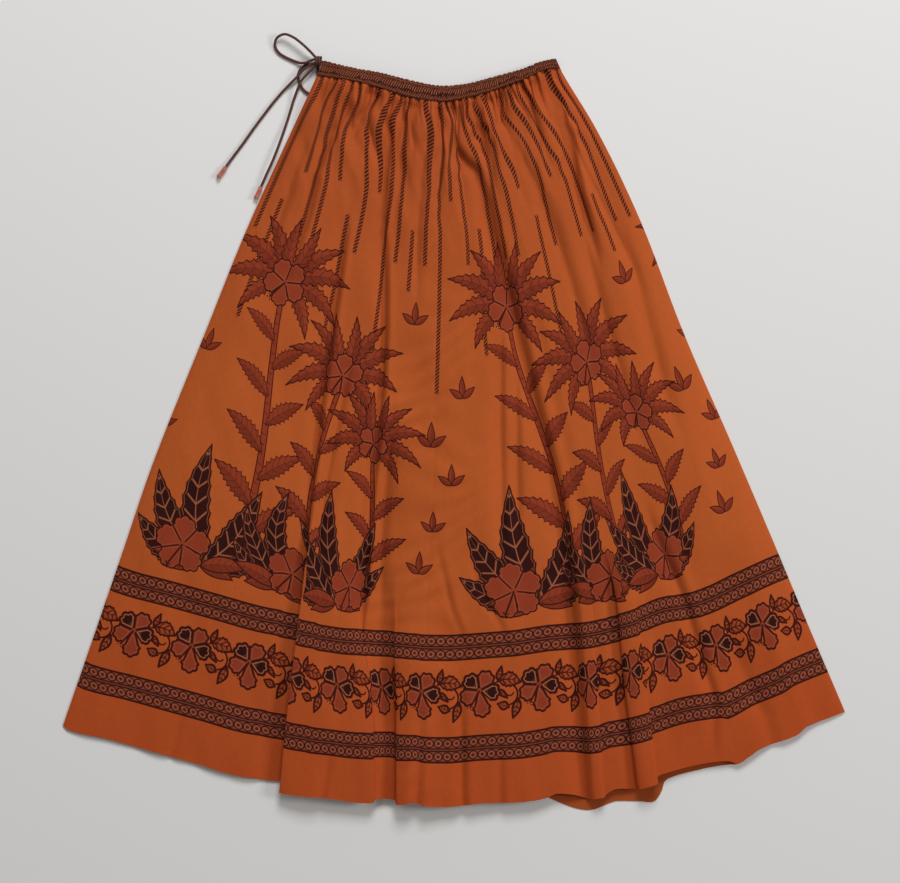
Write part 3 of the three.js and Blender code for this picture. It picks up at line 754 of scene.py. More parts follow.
def softRoute(points, step):
    # centripetal curve through the points, then evenly spaced along it
    points = np.array(points, float) * mm
    ends = np.vstack([2 * points[0] - points[1], points, 2 * points[-1] - points[-2]])
    dense = []
    for k in range(len(points) - 1):
        four = ends[k:k + 4]
        knots = np.concatenate([[0], np.cumsum(np.linalg.norm(np.diff(four, axis=0), axis=1) ** 0.5)])
        t = np.linspace(knots[1], knots[2], 24, endpoint=False)[:, None]

        def blend(a, b, first, second):
            return ((second - t) * a + (t - first) * b) / (second - first)

        a1, a2, a3 = (blend(four[i], four[i + 1], knots[i], knots[i + 1]) for i in range(3))
        b1, b2 = blend(a1, a2, knots[0], knots[2]), blend(a2, a3, knots[1], knots[3])
        dense.append(blend(b1, b2, knots[1], knots[2]))
    dense = np.vstack(dense + [points[-1:]])
    length = lengthAlong(dense)
    even = np.linspace(0, length[-1], max(int(round(length[-1] / step)), 2) + 1)
    return np.stack([np.interp(even, length, dense[:, axis]) for axis in range(3)], axis=1), length[-1]


def sidesOf(path):
    # a right and an up direction at each point, without twist
    ahead = np.gradient(path, axis=0)
    ahead /= np.linalg.norm(ahead, axis=1)[:, None]
    rights = []
    right = np.cross(ahead[0], (0, 0, 1))
    for direction in ahead:
        right = right - direction * np.dot(right, direction)
        right /= np.linalg.norm(right)
        rights.append(right.copy())
    rights = np.array(rights)
    return rights, np.cross(rights, ahead)


def joinRings(name, rings, along, around, capPlaces, material):
    # a closed tube through rings of points. Its "print" map holds the place along it and the place round it
    sides = rings.shape[1]
    points = rings.reshape(-1, 3)
    faces, places = [], []
    for i in range(len(rings) - 1):
        for s in range(sides):
            after = (s + 1) % sides
            faces.append((i * sides + s, i * sides + after, (i + 1) * sides + after, (i + 1) * sides + s))
            u0, u1, v0, v1 = along[i], along[i + 1], around[s], around[s + 1]
            places += [(u0, v0), (u0, v1), (u1, v1), (u1, v0)]
    caps = range(sides - 1, -1, -1), range(len(points) - sides, len(points))
    for cap, place in zip(caps, capPlaces):
        faces.append(tuple(cap))
        places += [(place, 0)] * sides
    piece = newMesh(name, points, faces, materials=(material,))
    addMap(piece, "print", places)
    return piece


def makeTube(name, path, radii, sides, material):
    # radii: one for each point of the path
    rights, ups = sidesOf(path)
    angles = np.linspace(0, 2 * math.pi, sides, endpoint=False)[:, None]
    rings = [middle + radius * (np.cos(angles) * right + np.sin(angles) * up)
             for middle, radius, right, up in zip(path, radii, rights, ups)]
    length = lengthAlong(path)
    around = [4 * s / sides for s in range(sides + 1)]
    return joinRings(name, np.array(rings), length, around, (0, length[-1]), material)


def assign(piece, node):
    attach(piece, "root")
    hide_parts(node)


def makeCord(name, routeName, node):
    route = routes[routeName]
    path, length = softRoute(route, drawstring["step"])
    radii = np.full(len(path), drawstring["diameter"] / 2)
    piece = makeTube(name, path, radii, drawstring["sides"], cordFinish)
    assign(piece, node)
    print(name, "is", round(length * 1000), "mm long")
    return piece


tipForm = {
    "radius": 0.0029, "rim": 0.0032, "length": 0.017, "gap": 0.00045, "lift": 0.0001, "sides": 28,
    # share of the length, share of the radius: pinched on to the cord, with a flared, rounded end
    "profile": [(0.0, 0.70), (0.01, 0.84), (0.03, 0.92), (0.07, 0.95), (0.09, 0.86), (0.12, 0.86),
                (0.14, 0.96), (0.30, 0.93), (0.50, 0.90), (0.70, 0.95), (0.85, 1.04), (0.93, 1.10),
                (0.97, 1.06), (0.99, 0.92), (1.0, 0.70)],
}


def makeTip(name, routeName, node):
    before, last = (np.array(p) * mm for p in routes[routeName][-2:])
    along = (last - before) * (1, 1, 0)
    along /= np.linalg.norm(along)
    start = last + along * tipForm["gap"]
    start[2] = tipForm["rim"] + tipForm["lift"]
    path = np.array([start + along * tipForm["length"] * share for share, _ in tipForm["profile"]])
    radii = [tipForm["radius"] * share for _, share in tipForm["profile"]]
    piece = makeTube(name, path, radii, tipForm["sides"], tipFinish)
    assign(piece, node)
    return piece


knotForm = {
    "middle": (-176.0, 483.2, 9.2), "radius": 1.7, "sides": 12, "step": 0.0006,
    "wrapWide": 5.0, "wrapTall": 3.9, "pitch": 3.3, "wrapFrom": -0.6, "wrapTo": 12.4, "wrapPoints": 27,
    "toCasing": [(-1.0, 0.6, 0.4), (3.0, -0.2, 0.6)], "casingMouth": (-170.6, 481.4, 8.4),
    "start": 0.1, "straight": 2.2, "inside": (0.8, 1.4, 1.2), "spread": 1.3,
}


def makeKnot():
    # two turns round the bundle, an end that runs into the casing, and others that meet the loops and tails
    middle = np.array(knotForm["middle"])
    wrap, halfway = [], knotForm["wrapTo"] / 2
    for a in np.linspace(knotForm["wrapFrom"], knotForm["wrapTo"], knotForm["wrapPoints"]):
        along = knotForm["pitch"] * (a / halfway - 1)
        wrap.append(middle + (along, knotForm["wrapWide"] * math.cos(a), knotForm["wrapTall"] * math.sin(a)))
    paths = [wrap, [*(middle + offset for offset in knotForm["toCasing"]), knotForm["casingMouth"]]]
    ends = [route[:2] for route in routes.values()]
    ends += [routes[name][:-3:-1] for name in ("bigLoop", "smallLoop")]
    insideX, insideY, insideZ = knotForm["inside"]
    for index, (end, before) in enumerate(ends):
        end = np.array(end)
        ahead = (end - before) / np.linalg.norm(end - np.array(before))
        turn = index * knotForm["spread"]
        inside = middle + (insideX, insideY * math.cos(turn), insideZ * math.sin(turn))
        straight = end + ahead * knotForm["straight"]
        paths.append([end + ahead * knotForm["start"], straight, (straight + inside * 2) / 3, inside])
    parts = []
    for index, route in enumerate(paths):
        path, _ = softRoute(route, knotForm["step"])
        radii = np.full(len(path), knotForm["radius"] * mm)
        parts.append(makeTube("turn%d" % index, path, radii, knotForm["sides"], cordFinish))
    bpy.ops.object.select_all(action="DESELECT")
    for part in parts:
        part.select_set(True)
    bpy.context.view_layer.objects.active = parts[0]
    bpy.ops.object.join()
    piece = bpy.context.view_layer.objects.active
    piece.name = piece.data.name = "bowKnot"
    assign(piece, "knot")
    return piece


tipLong = makeTip("tipLong", "longTail", "tip_long")
tipShort = makeTip("tipShort", "shortTail", "tip_short")
bowKnot = makeKnot()
loopBig = makeCord("loopBig", "bigLoop", "loop_big")
loopSmall = makeCord("loopSmall", "smallLoop", "loop_small")
tailLong = makeCord("tailLong", "longTail", "tail_long")
tailShort = makeCord("tailShort", "shortTail", "tail_short")
print("the drawstring is tied")

# The laid skirt, in millimetres: the same lines and tables as its solids, with finer folds. Places on it are
# angles, in degrees, and radii from an apex above the waist.
form = {
    "apexX": -28.0, "apexY": 847.6, "laidHemWidth": 1050.0, "cutLength": 915.0, "cloth": 0.6,
    "edgeHeight": 1.9, "edgeRoll": 62.0, "edgeTurn": 1.1,
    "waistRise": 2.4, "waistReach": 90.0, "waistRoll": 0.17,
    "liftX": -180.0, "liftY": 458.0, "liftRise": 4.4, "liftFlat": 30.0, "liftReach": 76.0,
    "hemTurn": 8.5, "hemExtra": 0.7,        # the hem is turned up inside, so it is thicker
    "backInset": 2.5, "sharpAngle": 60,
}
stations = [415, 500, 620, 780, 950, 1080, 1200, 1329]

# Lines from the waist to the hem: share of the hem, place on the flat cut, angles at the stations.
lines = {
    "leftEdge": (0.0, -520, [-21.4, -22.0, -22.5, -22.4, -22.3, -21.9, -21.6, -21.35]),
    "leftLap": (0.2838, -241, [-9.1, -9.5, -9.9, -10.1, -9.6, -8.85, -8.75, -8.52]),
    "valleyLap": (0.4009, -108, [-3.3, -3.6, -4.0, -4.4, -4.9, -4.85, -3.75, -3.22]),
    "middleLap": (0.4272, -50, [-0.7, -1.0, -1.35, -1.8, -2.2, -2.45, -2.25, -2.03]),
    "centreSeam": (0.4621, 0, [1.5, 1.2, 0.9, 0.45, 0.0, -0.35, -0.45, -0.45]),
    "longCrease": (0.6620, 204, [9.1, 9.3, 9.2, 8.9, 9.6, 9.8, 9.15, 8.6]),
    "tuckLap": (0.6841, 246, [10.7, 11.0, 10.9, 10.6, 11.0, 10.95, 10.3, 9.6]),
    "rightLap": (0.7261, 284, [12.1, 12.5, 12.4, 12.1, 12.6, 12.65, 11.95, 11.5]),
    "lowLap": (0.7515, 336, [14.1, 14.6, 14.5, 14.1, 14.2, 13.95, 13.3, 12.65]),
    "lowCrease": (0.8343, 430, [17.6, 18.3, 18.3, 17.7, 17.3, 16.95, 17.0, 16.4]),
    "rightEdge": (1.0, 602, [24.0, 25.2, 25.35, 24.5, 24.3, 24.15, 24.0, 23.9]),
}

# Laps: the side on top, radii where it starts and is full, how far its edge is pushed, rise, width, width of
# its steep part as a share of that, how much of the rise that part has, how far on the rise ends.
laps = {
    "leftLap": (1, 930, 1110, 12.5, 8.5, 54, 0.12, 0.75, 90),
    "valleyLap": (-1, 1040, 1160, 4.2, 5.0, 27, 0.30, 0.6, 60),
    "middleLap": (1, 1010, 1130, 4.4, 8.0, 27, 0.24, 0.6, 50),
    "tuckLap": (-1, 980, 1080, 5.4, 4.5, 26, 0.30, 0.5, 34),
    "rightLap": (1, 1000, 1100, 4.0, 6.0, 26, 0.30, 0.5, 40),
    "lowLap": (-1, 1070, 1170, 6.0, 3.0, 27, 0.30, 0.5, 30),
}
# shares of a lap's width: where its turn is, where its round edge starts, and how wide that edge is
lapTurn = {"at": 0.17, "edgeFrom": 0.0595, "edgeWidth": 0.52}

# How high the cloth stands over the back: along the hem, by the share of the hem, and above it, by radius.
hemStand = [
    (0, 1.0), (0.06, 1.6), (0.18, 2.2), (0.25, 3.2), (0.33, 8.5), (0.4, 10.5), (0.46, 11.5), (0.56, 10.5),
    (0.63, 9.5), (0.68, 7.0), (0.76, 6.5), (0.82, 5.5), (0.88, 5), (0.95, 3), (1, 1.2),
]
bodyStand = [(400, 8.0), (520, 9.5), (700, 11.0), (1000, 11.5), (1080, 11.0)]

# Soft folds: radii and angles of the path, half widths to its left and right, height (below 0 a trough),
# height of the lip on its right, where it starts and ends.
softFolds = {
    "frontSwell": ([415, 780, 1080, 1329], [-2, 2, 3, 3], 80, 80, 2.2, 0, 430, 1500),
    "leftCrease": ([560, 620, 661, 739, 914, 1010], [-11.2, -10.8, -10.6, -10.4, -9.8, -9.4],
                   10, 4, -7.0, 1.8, 600, 1040),
    "leftLapFloor": ([930, 1030, 1098, 1210, 1329], [-9.7, -9.7, -9.7, -9.6, -9.4],
                     13, 8, -4.5, 0, 980, 1500),
    "leftLapSlot": ([1000, 1080, 1200, 1329], [-9.7, -9.2, -9.05, -8.85], 6, 5, -8.0, 0, 1030, 1500),
    "leftCreaseTwin": ([740, 800, 930, 1010], [-7.9, -8.2, -8.6, -8.4], 6, 4, -3.4, 0.6, 760, 1030),
    "valleyCrease": ([470, 526, 613, 677, 742, 833, 964, 1040],
                     [-7.1, -6.8, -5.9, -5.3, -4.9, -4.8, -4.9, -4.8], 9, 4, -7.5, 2.0, 470, 1100),
    "valleyFloor": ([833, 964, 1068, 1136, 1197, 1329], [-3.6, -3.9, -3.6, -3.4, -2.95, -2.6],
                    9, 8, -6.5, 0, 860, 1500),
    "longCrease": ([430, 455, 480, 500, 520, 550, 600, 643, 722, 816, 911, 1004, 1081, 1184, 1262, 1327],
                   [1.8, 2.7, 4.1, 5.4, 6.4, 7.1, 7.7, 8.2, 8.8, 9.3, 9.8, 9.8, 9.5, 9.0, 8.7, 8.5],
                   15, 6.5, -10.5, 2.4, 460, 1500),
    "longCreaseHem": ([1100, 1184, 1262, 1329], [9.7, 9.3, 9.0, 8.8], 8, 9, -4.5, 0.6, 1120, 1500),
    "slitCrease": ([1040, 1100, 1200, 1329], [12.3, 12.1, 11.7, 11.3], 8, 7, -4.5, 0.8, 1060, 1500),
    "longCreaseFan": ([740, 850, 930, 1000], [8.3, 7.4, 6.8, 6.4], 10, 5, -4.0, 0.8, 760, 980),
    "swellCrease": ([690, 760, 850, 980, 1040], [7.6, 6.7, 6.0, 5.3, 5.0], 10, 5, -4.6, 1.0, 720, 1010),
    "hipRidge": ([500, 620, 780, 950], [9.5, 11.2, 11.8, 12.4], 12, 22, 3.0, 0, 480, 990),
    "rightCreaseA": ([400, 414, 457, 510, 560, 646, 699], [21.1, 21.0, 20.7, 20.1, 19.6, 19.2, 18.7],
                     7, 6, -11.0, 1.8, 380, 640),
    "rightCreaseD": ([470, 520, 600, 680], [20.7, 21.2, 21.9, 22.4], 6, 5, -4.5, 1.0, 470, 680),
    "rightCreaseB": ([440, 484, 597, 667, 734, 799, 851], [22.6, 22.8, 23.0, 22.7, 22.0, 21.3, 20.8],
                     15, 10, -6.0, 1.0, 470, 880),
    "rightCreaseC": ([540, 620, 720, 860], [19.0, 18.4, 17.8, 17.5], 10, 7, -4.6, 0.8, 560, 870),
    "sideCrease": ([449, 482, 576, 617, 700], [-14.7, -16.3, -16.0, -16.2, -16.6], 6, 5, -6.0, 1.4, 440, 660),
    "sideCreaseB": ([430, 500, 600, 720], [-18.6, -19.4, -19.3, -19.0], 7, 6, -4.6, 0.8, 430, 660),
    "bodiceCrease": ([480, 560, 680, 800], [12.6, 14.6, 15.4, 15.2], 9, 8, -4.4, 1.0, 470, 760),
    "innerCrease": ([440, 520, 640, 760], [-0.6, -1.6, -1.8, -1.4], 6, 6, -3.6, 0.6, 430, 660),
    "yokeCrease": ([430, 470, 500], [-11.0, -9.4, -8.0], 5, 5, -3.5, 0.8, 430, 500),
    "rightCreaseTop": ([405, 440, 480, 530], [21.2, 20.9, 20.6, 20.1], 6, 5, -6.0, 1.6, 400, 520),
    "panelSlope": ([880, 960, 1100, 1180], [-4.9, -4.9, -4.6, -4.4], 8, 46, -5.5, 0, 890, 1130),
    "panelCrease": ([900, 960, 1080], [-8.0, -8.1, -7.6], 12, 6, -2.6, 0.8, 900, 1080),
    "kneeCreaseA": ([1000, 1039, 1078, 1107, 1180], [0.4, 0.9, 1.35, 1.9, 2.3], 5, 4, -2.6, 0.8, 1010, 1110),
    "kneeCreaseB": ([1020, 1054, 1101, 1200], [3.0, 3.4, 4.6, 5.4], 5, 4, -2.6, 0.8, 1030, 1120),
    "lowCreaseA": ([1000, 1040, 1104, 1204, 1249, 1283, 1329], [16.4, 16.6, 17.0, 17.0, 17.0, 16.5, 16.1],
                   10, 6, -5.4, 1.4, 1010, 1290),
    "lowCreaseB": ([1180, 1200, 1254, 1290, 1329], [19.2, 19.2, 19.3, 19.5, 19.4],
                   12, 10, -3.6, 0.8, 1170, 1500),
    "hemRidgeRight": ([1150, 1329], [21.6, 21.5], 16, 16, 2.2, 0, 1180, 1500),
    "hemWaveA": ([1180, 1329], [-0.7, -0.9], 6, 6, -5.0, 0.8, 1230, 1500),
    "hemWaveB": ([1180, 1329], [1.8, 1.7], 7, 5, -4.8, 0.6, 1190, 1500),
    "hemWaveG": ([1200, 1329], [4.1, 3.8], 6, 5, -3.0, 0.4, 1260, 1500),
    "hemWaveH": ([1200, 1329], [-5.9, -6.2], 5, 5, -3.0, 0.4, 1270, 1500),
    "hemWaveI": ([1200, 1329], [-15.1, -15.0], 6, 5, -2.2, 0.4, 1260, 1500),
    "hemWaveC": ([1100, 1329], [-6.2, -6.4], 16, 16, 1.4, 0, 1150, 1500),
    "hemWaveD": ([1100, 1329], [5.4, 5.5], 14, 14, 1.4, 0, 1200, 1500),
    "hemWaveE": ([1100, 1329], [-13.0, -13.0], 26, 26, 1.0, 0, 1150, 1500),
    "hemWaveF": ([1150, 1329], [-17.2, -17.2], 18, 18, -0.8, 0, 1180, 1500),
}

# The laid hem: share of the hem, radius of the front, radius of the back.
hemShape = [
    (0, 1318, 1316), (0.01, 1321, 1316), (0.066, 1314, 1310), (0.17, 1313, 1308), (0.22, 1317, 1308),
    (0.26, 1316, 1308), (0.279, 1315, 1310), (0.285, 1325, 1310), (0.295, 1329, 1310), (0.34, 1328, 1312),
    (0.39, 1330, 1312), (0.4035, 1325, 1312), (0.42, 1324, 1312), (0.427, 1330, 1312), (0.45, 1327, 1314),
    (0.463, 1331, 1316), (0.5, 1332, 1318), (0.53, 1329, 1320), (0.59, 1331, 1322), (0.613, 1329, 1328),
    (0.626, 1325, 1336), (0.648, 1330, 1348), (0.667, 1338, 1353), (0.689, 1337, 1348), (0.698, 1331, 1347),
    (0.726, 1336, 1353), (0.743, 1335, 1357), (0.755, 1329, 1345), (0.762, 1324, 1333), (0.81, 1324, 1331),
    (0.843, 1330, 1335), (0.8535, 1337, 1338), (0.869, 1333, 1333), (0.888, 1327, 1328), (0.933, 1327, 1326),
    (0.95, 1321, 1322), (0.979, 1322, 1322), (1, 1323, 1323),
]

# The waist: angle, upper edge of the casing, seam.
waistShape = [
    (-21.4, 392, 411), (-15, 388.5, 404.5), (-10, 387, 405.5), (-5, 391, 412), (1.5, 398, 418),
    (6, 398, 415.5), (12, 394.5, 410), (18, 393.7, 405.5), (21, 392.8, 403), (24, 396.5, 408),
]


def smooth(share):
    share = np.clip(share, 0, 1)
    return share * share * (3 - 2 * share)


def bell(away, wide, power=2):
    return np.exp(-np.abs(away / wide) ** power)


def curveThrough(places, values, at):
    # a soft curve through the values at rising places
    places, values = np.asarray(places, float), np.asarray(values, float)
    last = len(places) - 1
    x = np.clip(at, places[0], places[-1])
    k = np.clip(np.searchsorted(places, x, side="right") - 1, 0, last - 1)
    before, after = np.clip(np.arange(last + 1) - 1, 0, last), np.clip(np.arange(last + 1) + 1, 0, last)
    slopes = (values[after] - values[before]) / (places[after] - places[before])
    span = places[k + 1] - places[k]
    s = (x - places[k]) / span
    s2, s3 = s * s, s * s * s
    return (values[k] * (2 * s3 - 3 * s2 + 1) + values[k + 1] * (3 * s2 - 2 * s3)
            + span * (slopes[k] * (s3 - 2 * s2 + s) + slopes[k + 1] * (s3 - s2)))


def readTable(table, index, at):
    # the curve through one column of a table, by the table's first column
    return curveThrough([row[0] for row in table], [row[index] for row in table], at)


def onPlan(radius, angle):
    turn = np.radians(angle)
    return form["apexX"] + radius * np.sin(turn), form["apexY"] - radius * np.cos(turn)


def liftAt(x, y):
    # the corner of the waist lies on the small loop
    away = np.hypot(x - form["liftX"], y - form["liftY"])
    return form["liftRise"] * (1 - smooth((away - form["liftFlat"]) / (form["liftReach"] - form["liftFlat"])))


def edgeAngles(radius):
    return [curveThrough(stations, lines[name][2], radius) for name in ("leftEdge", "rightEdge")]


def frontAngle(part, radius):
    # the angle of a share of the hem, between the two lines beside it
    shares = [line[0] for line in lines.values()]
    stack = np.array([curveThrough(stations, line[2], radius) for line in lines.values()])
    k = np.clip(np.searchsorted(shares, part, side="right") - 1, 0, len(shares) - 2)
    share = (part - np.take(shares, k)) / (np.take(shares, k + 1) - np.take(shares, k))
    low, high = (np.take_along_axis(stack, k[None] + step, 0)[0] for step in (0, 1))
    return low + (high - low) * share


def frontShare(angle, radius):
    # the share of the front's width at which an angle lies, and that width
    left, right = edgeAngles(radius)
    return (angle - left) / (right - left), np.radians(right - left) * radius


def seamAt(angle):
    return readTable(waistShape, 2, angle)


# Gathers: small grooves at the seam run together into one longer groove, with tiny ones between. Each has a
# depth, a reach and a width; places are shares of the waist.
gatherForm = {
    "seed": 23, "from": 0.012, "to": 0.99, "span": (0.030, 0.058), "middle": (0.35, 0.65),
    "reaches": [36, 48, 62, 80, 120, 190], "uneven": (0.85, 1.15), "drift": (-0.012, 0.012),
    "mainDepth": (6.0, 8.6), "mainWidth": 2.8,
    "sideChance": 0.80, "sideAt": (0.28, 0.42), "sideEnd": (0.02, 0.22), "sideDepth": (5.0, 7.6),
    "sideReach": (16, 46), "sideWidth": 1.7,
    "tinyCount": 3, "tinyDepth": (2.2, 3.8), "tinyReach": (8, 20), "tinyWidth": 1.3,
    "joinBy": 60, "widening": 0.035, "fading": 1.6, "roundness": 1.25, "deepest": 12, "atSeam": 0.6,
    "swell": 3.4, "swellReach": 60, "takenIn": 0.8,
}


def makeGathers():
    # place at the seam, place below, depth, reach, width of each
    chance = random.Random(gatherForm["seed"])

    def pick(name):
        return chance.uniform(*gatherForm[name])

    found = []
    at = gatherForm["from"]
    while at < gatherForm["to"]:
        span = pick("span")
        middle = at + span * pick("middle")
        reach = chance.choice(gatherForm["reaches"]) * pick("uneven")
        found.append((middle, middle + pick("drift"), pick("mainDepth"), reach, gatherForm["mainWidth"]))
        for side in (-1, 1):
            if chance.random() < gatherForm["sideChance"]:
                start = middle + side * span * pick("sideAt")
                end = middle + side * span * pick("sideEnd")
                found.append((start, end, pick("sideDepth"), pick("sideReach"), gatherForm["sideWidth"]))
        for _ in range(gatherForm["tinyCount"]):
            start = at + span * chance.random()
            found.append((start, start, pick("tinyDepth"), pick("tinyReach"), gatherForm["tinyWidth"]))
        at += span
    return found


gathers = makeGathers()


def grooves(angle, radius, seam):
    # for each gather, how far its middle is, in its own widths, and how deep it is there
    share, fan = frontShare(angle, radius)
    below = np.maximum(radius - seam, 0)
    for start, end, depth, reach, width in gathers:
        middle = start + (end - start) * smooth(below / gatherForm["joinBy"])
        away = (share - middle) * fan / (width + below * gatherForm["widening"])
        yield away, depth * bell(below, reach, gatherForm["fading"])


def gatherHeight(angle, radius, seam):
    below = np.maximum(radius - seam, 0)
    height = gatherForm["swell"] * bell(below, gatherForm["swellReach"], 1)
    height = height * smooth(0.35 + below / gatherForm["deepest"])
    # a groove is deepest a little below the seam
    deepen = gatherForm["atSeam"] + (1 - gatherForm["atSeam"]) * smooth(below / gatherForm["deepest"])
    for away, depth in grooves(angle, radius, seam):
        height = height - depth * deepen * bell(away, 1, gatherForm["roundness"])
    return height


def gatherTuck(angle, radius):
    # how much cloth the grooves take in, from the first column on, in metres of the flat cut
    taken = 0
    for away, depth in grooves(angle, radius, seamAt(angle)):
        taken = taken + depth * gatherForm["takenIn"] * mm * np.tanh(away)
    share, _ = frontShare(angle, radius)
    across = (share - share[:, :1]) / (share[:, -1:] - share[:, :1])
    return taken - taken[:, :1] - (taken[:, -1:] - taken[:, :1]) * across


# The gathered cloth wanders sideways below the seam: how far in slow and quick waves and in short kinks.
swayForm = {"slow": 3.0, "quick": 1.6, "kink": 1.5, "from": 30, "reach": 150}


def gatherSway(part, below):
    slow = np.sin(31 * part + below / 33 + 2 * np.sin(9 * part))
    quick = np.sin(97 * part + 1.5 * np.sin(below / 17) + 2)
    kink = np.sin(53 * part + below / 9.5 + 3.0 * np.sin(below / 27 + 17 * part))
    kink = kink * np.sin(23 * part - below / 41 + 1)
    sway = swayForm["slow"] * slow + swayForm["quick"] * quick + swayForm["kink"] * kink
    return sway * smooth(below / swayForm["from"]) * bell(below, swayForm["reach"])


# Slow unevenness, longer down the cloth than across it: waves per millimetre in X and Y, phase, height.
unevenness = [(0.071, 0.011, 0.4, 1.0), (0.052, -0.017, 2.1, 0.9), (0.113, 0.021, 4.0, 0.55),
              (0.037, 0.029, 5.2, 1.0), (0.145, -0.031, 1.3, 0.35), (0.024, 0.041, 3.3, 0.9),
              (0.19, 0.05, 0.2, 0.22)]


def crumple(x, y, amount):
    return amount * sum(high * np.sin(fx * x + fy * y + phase + 1.3 * np.sin(0.013 * y + phase))
                        for fx, fy, phase, high in unevenness)


standForm = {"hemFrom": 1010, "hemOver": 300}      # radii between which the hem's own heights take over


def standAt(part, radius):
    body = np.interp(radius, [row[0] for row in bodyStand], [row[1] for row in bodyStand])
    atHem = readTable(hemStand, 1, part)
    return body + (atHem - body) * smooth((radius - standForm["hemFrom"]) / standForm["hemOver"])


foldForm = {"fadeOver": 110, "roundness": 1.7, "lipAt": 2.1, "lipWidth": 1.3}


def foldHeight(angle, radius):
    height = 0
    for radii, angles, left, right, deep, lip, start, end in softFolds.values():
        away = np.radians(angle - curveThrough(radii, angles, radius)) * radius
        begun, ended = (smooth((radius - at) / foldForm["fadeOver"] + 0.5) for at in (start, end))
        trough = deep * bell(away, np.where(away < 0, left, right), foldForm["roundness"])
        lip = lip * bell(away - right * foldForm["lipAt"], right * foldForm["lipWidth"])
        height = height + begun * (1 - ended) * (trough + lip)
    return height


def lapShape(part, radius):
    # how far the laps push the cloth sideways, and how high they raise it
    shift, height = 0, 0
    for name, (upper, start, full, push, rise, width, wall, edge, tail) in laps.items():
        across = (part - lines[name][0]) * form["laidHemWidth"]
        strength = smooth((radius - start) / (full - start))
        half = width / 2
        shift = shift + np.where(np.abs(across) < half, -push * np.sin(np.pi * across / half), 0) * strength
        side = across * upper
        # up the inside of the turn, then over its round edge
        step = edge * smooth((side + width * lapTurn["at"]) / (width * wall) + 0.5)
        overEdge = (side - width * lapTurn["edgeFrom"]) / (width * lapTurn["edgeWidth"])
        step = step + (1 - edge) * smooth(overEdge)
        height = height + rise * strength * step * (1 - smooth((side - half) / tail))
    return shift, height


# The centre seam draws the cloth in: height and reach of the small puckers at the seam, of the longer pulls
# beside it and of the seam's own groove.
seamForm = {"pucker": 0.4, "puckerReach": 8, "pull": 1.3, "pullReach": 52, "groove": 0.3, "grooveReach": 2.6}


def seamPuckers(fromSeam, radius):
    pucker = np.sin(radius / 4.1 + fromSeam * 0.35 + 2 * np.sin(radius / 31))
    pucker = seamForm["pucker"] * pucker * bell(fromSeam, seamForm["puckerReach"], 1)
    bend = fromSeam * (0.10 + 0.07 * np.sin(radius / 37)) + 2.4 * np.sin(radius / 41 + fromSeam / 23)
    pull = np.sin(radius / 6.3 + bend) * np.sin(radius / 29 - fromSeam / 19)
    pull = seamForm["pull"] * pull * bell(fromSeam, seamForm["pullReach"])
    # the pulls are strongest between the hips and the border
    pull = pull * smooth((radius - 600) / 150) * (0.35 + 0.65 * smooth((1260 - radius) / 160))
    return pucker + pull - seamForm["groove"] * bell(fromSeam, seamForm["grooveReach"])


def frontSurface(part, down):
    # outer face of the front: part is the share of the hem, down runs from the waist seam to the hem
    seam = seamAt(frontAngle(part, np.full_like(part, stations[0])))
    hem = readTable(hemShape, 1, part)
    # the hem's own steps die away above it
    plain = sum(readTable(hemShape, 1, part + aside) for aside in (-0.03, -0.015, 0, 0.015, 0.03)) / 5
    radius = seam + (plain - seam) * down + (hem - plain) * down ** 10
    angle = frontAngle(part, radius)
    hemShare = radius / stations[-1]
    fromEdge = np.minimum(part, 1 - part)
    inwards = fromEdge * form["laidHemWidth"] * hemShare
    roll = 1 - np.minimum(inwards / form["edgeRoll"], 1)
    stand = 1 - roll * roll
    shift, lapHeight = lapShape(part, radius)
    below = radius - seam
    height = (standAt(part, radius) + foldHeight(angle, radius)) * stand + lapHeight
    waistBulge = smooth(fromEdge / form["waistRoll"]) * bell(below, form["waistReach"], 1)
    height = height + form["waistRise"] * waistBulge
    height = height + gatherHeight(angle, radius, seam) * smooth(inwards / 6)
    fromSeam = (part - lines["centreSeam"][0]) * form["laidHemWidth"] * hemShare
    height = height + seamPuckers(fromSeam, radius) * smooth(below / 60)
    x, y = onPlan(radius, angle)
    height = height + crumple(x, y, 0.5) * stand
    # small dents where the gathers press on each other
    dents = crumple(x * 2.3 + y * 0.4, y * 1.5, 1.1) + crumple(x * 3.4 - y * 1.1 + 40, y * 2.6, 0.45)
    height = height + dents * stand * smooth(below / 14) * bell(below, 130)
    shift = shift + gatherSway(part, below) * smooth(inwards / 30)
    x, y = onPlan(radius, angle + np.degrees(shift / radius))
    # never below the back
    soft = np.log1p(np.exp(np.minimum(height, 6) * 1.2)) / 1.2
    height = np.where(height > 6, height, soft) - 0.577 * (1 - stand)
    edge = form["edgeTurn"] * (1 - smooth(inwards / 5))
    z = form["edgeHeight"] + height + liftAt(x, y) + form["cloth"] / 2 - edge
    return np.stack([x, y, z], axis=-1), angle, radius


def backSurface(part, down):
    # outer face of the back, which lies on the surface
    left, right = edgeAngles(np.full_like(part, stations[0]))
    seam = seamAt(left + (right - left) * part) - form["backInset"]
    radius = seam + (readTable(hemShape, 2, part) - seam) * down
    left, right = edgeAngles(radius)
    x, y = onPlan(radius, left + (right - left) * part)
    return np.stack([x, y, liftAt(x, y)], axis=-1)


def spaced(start, end, count, dense):
    # rising shares from start to end, closer together in dense stretches: middle, half width, how much closer
    fine = np.linspace(start, end, 4001)
    weight = np.ones_like(fine)
    for middle, half, closer in dense:
        weight = weight + (closer - 1) * smooth(1.5 - np.abs(fine - middle) / half)
    total = np.concatenate([[0], np.cumsum((weight[1:] + weight[:-1]) / 2)])
    return np.interp(np.linspace(0, total[-1], count + 1), total, fine)


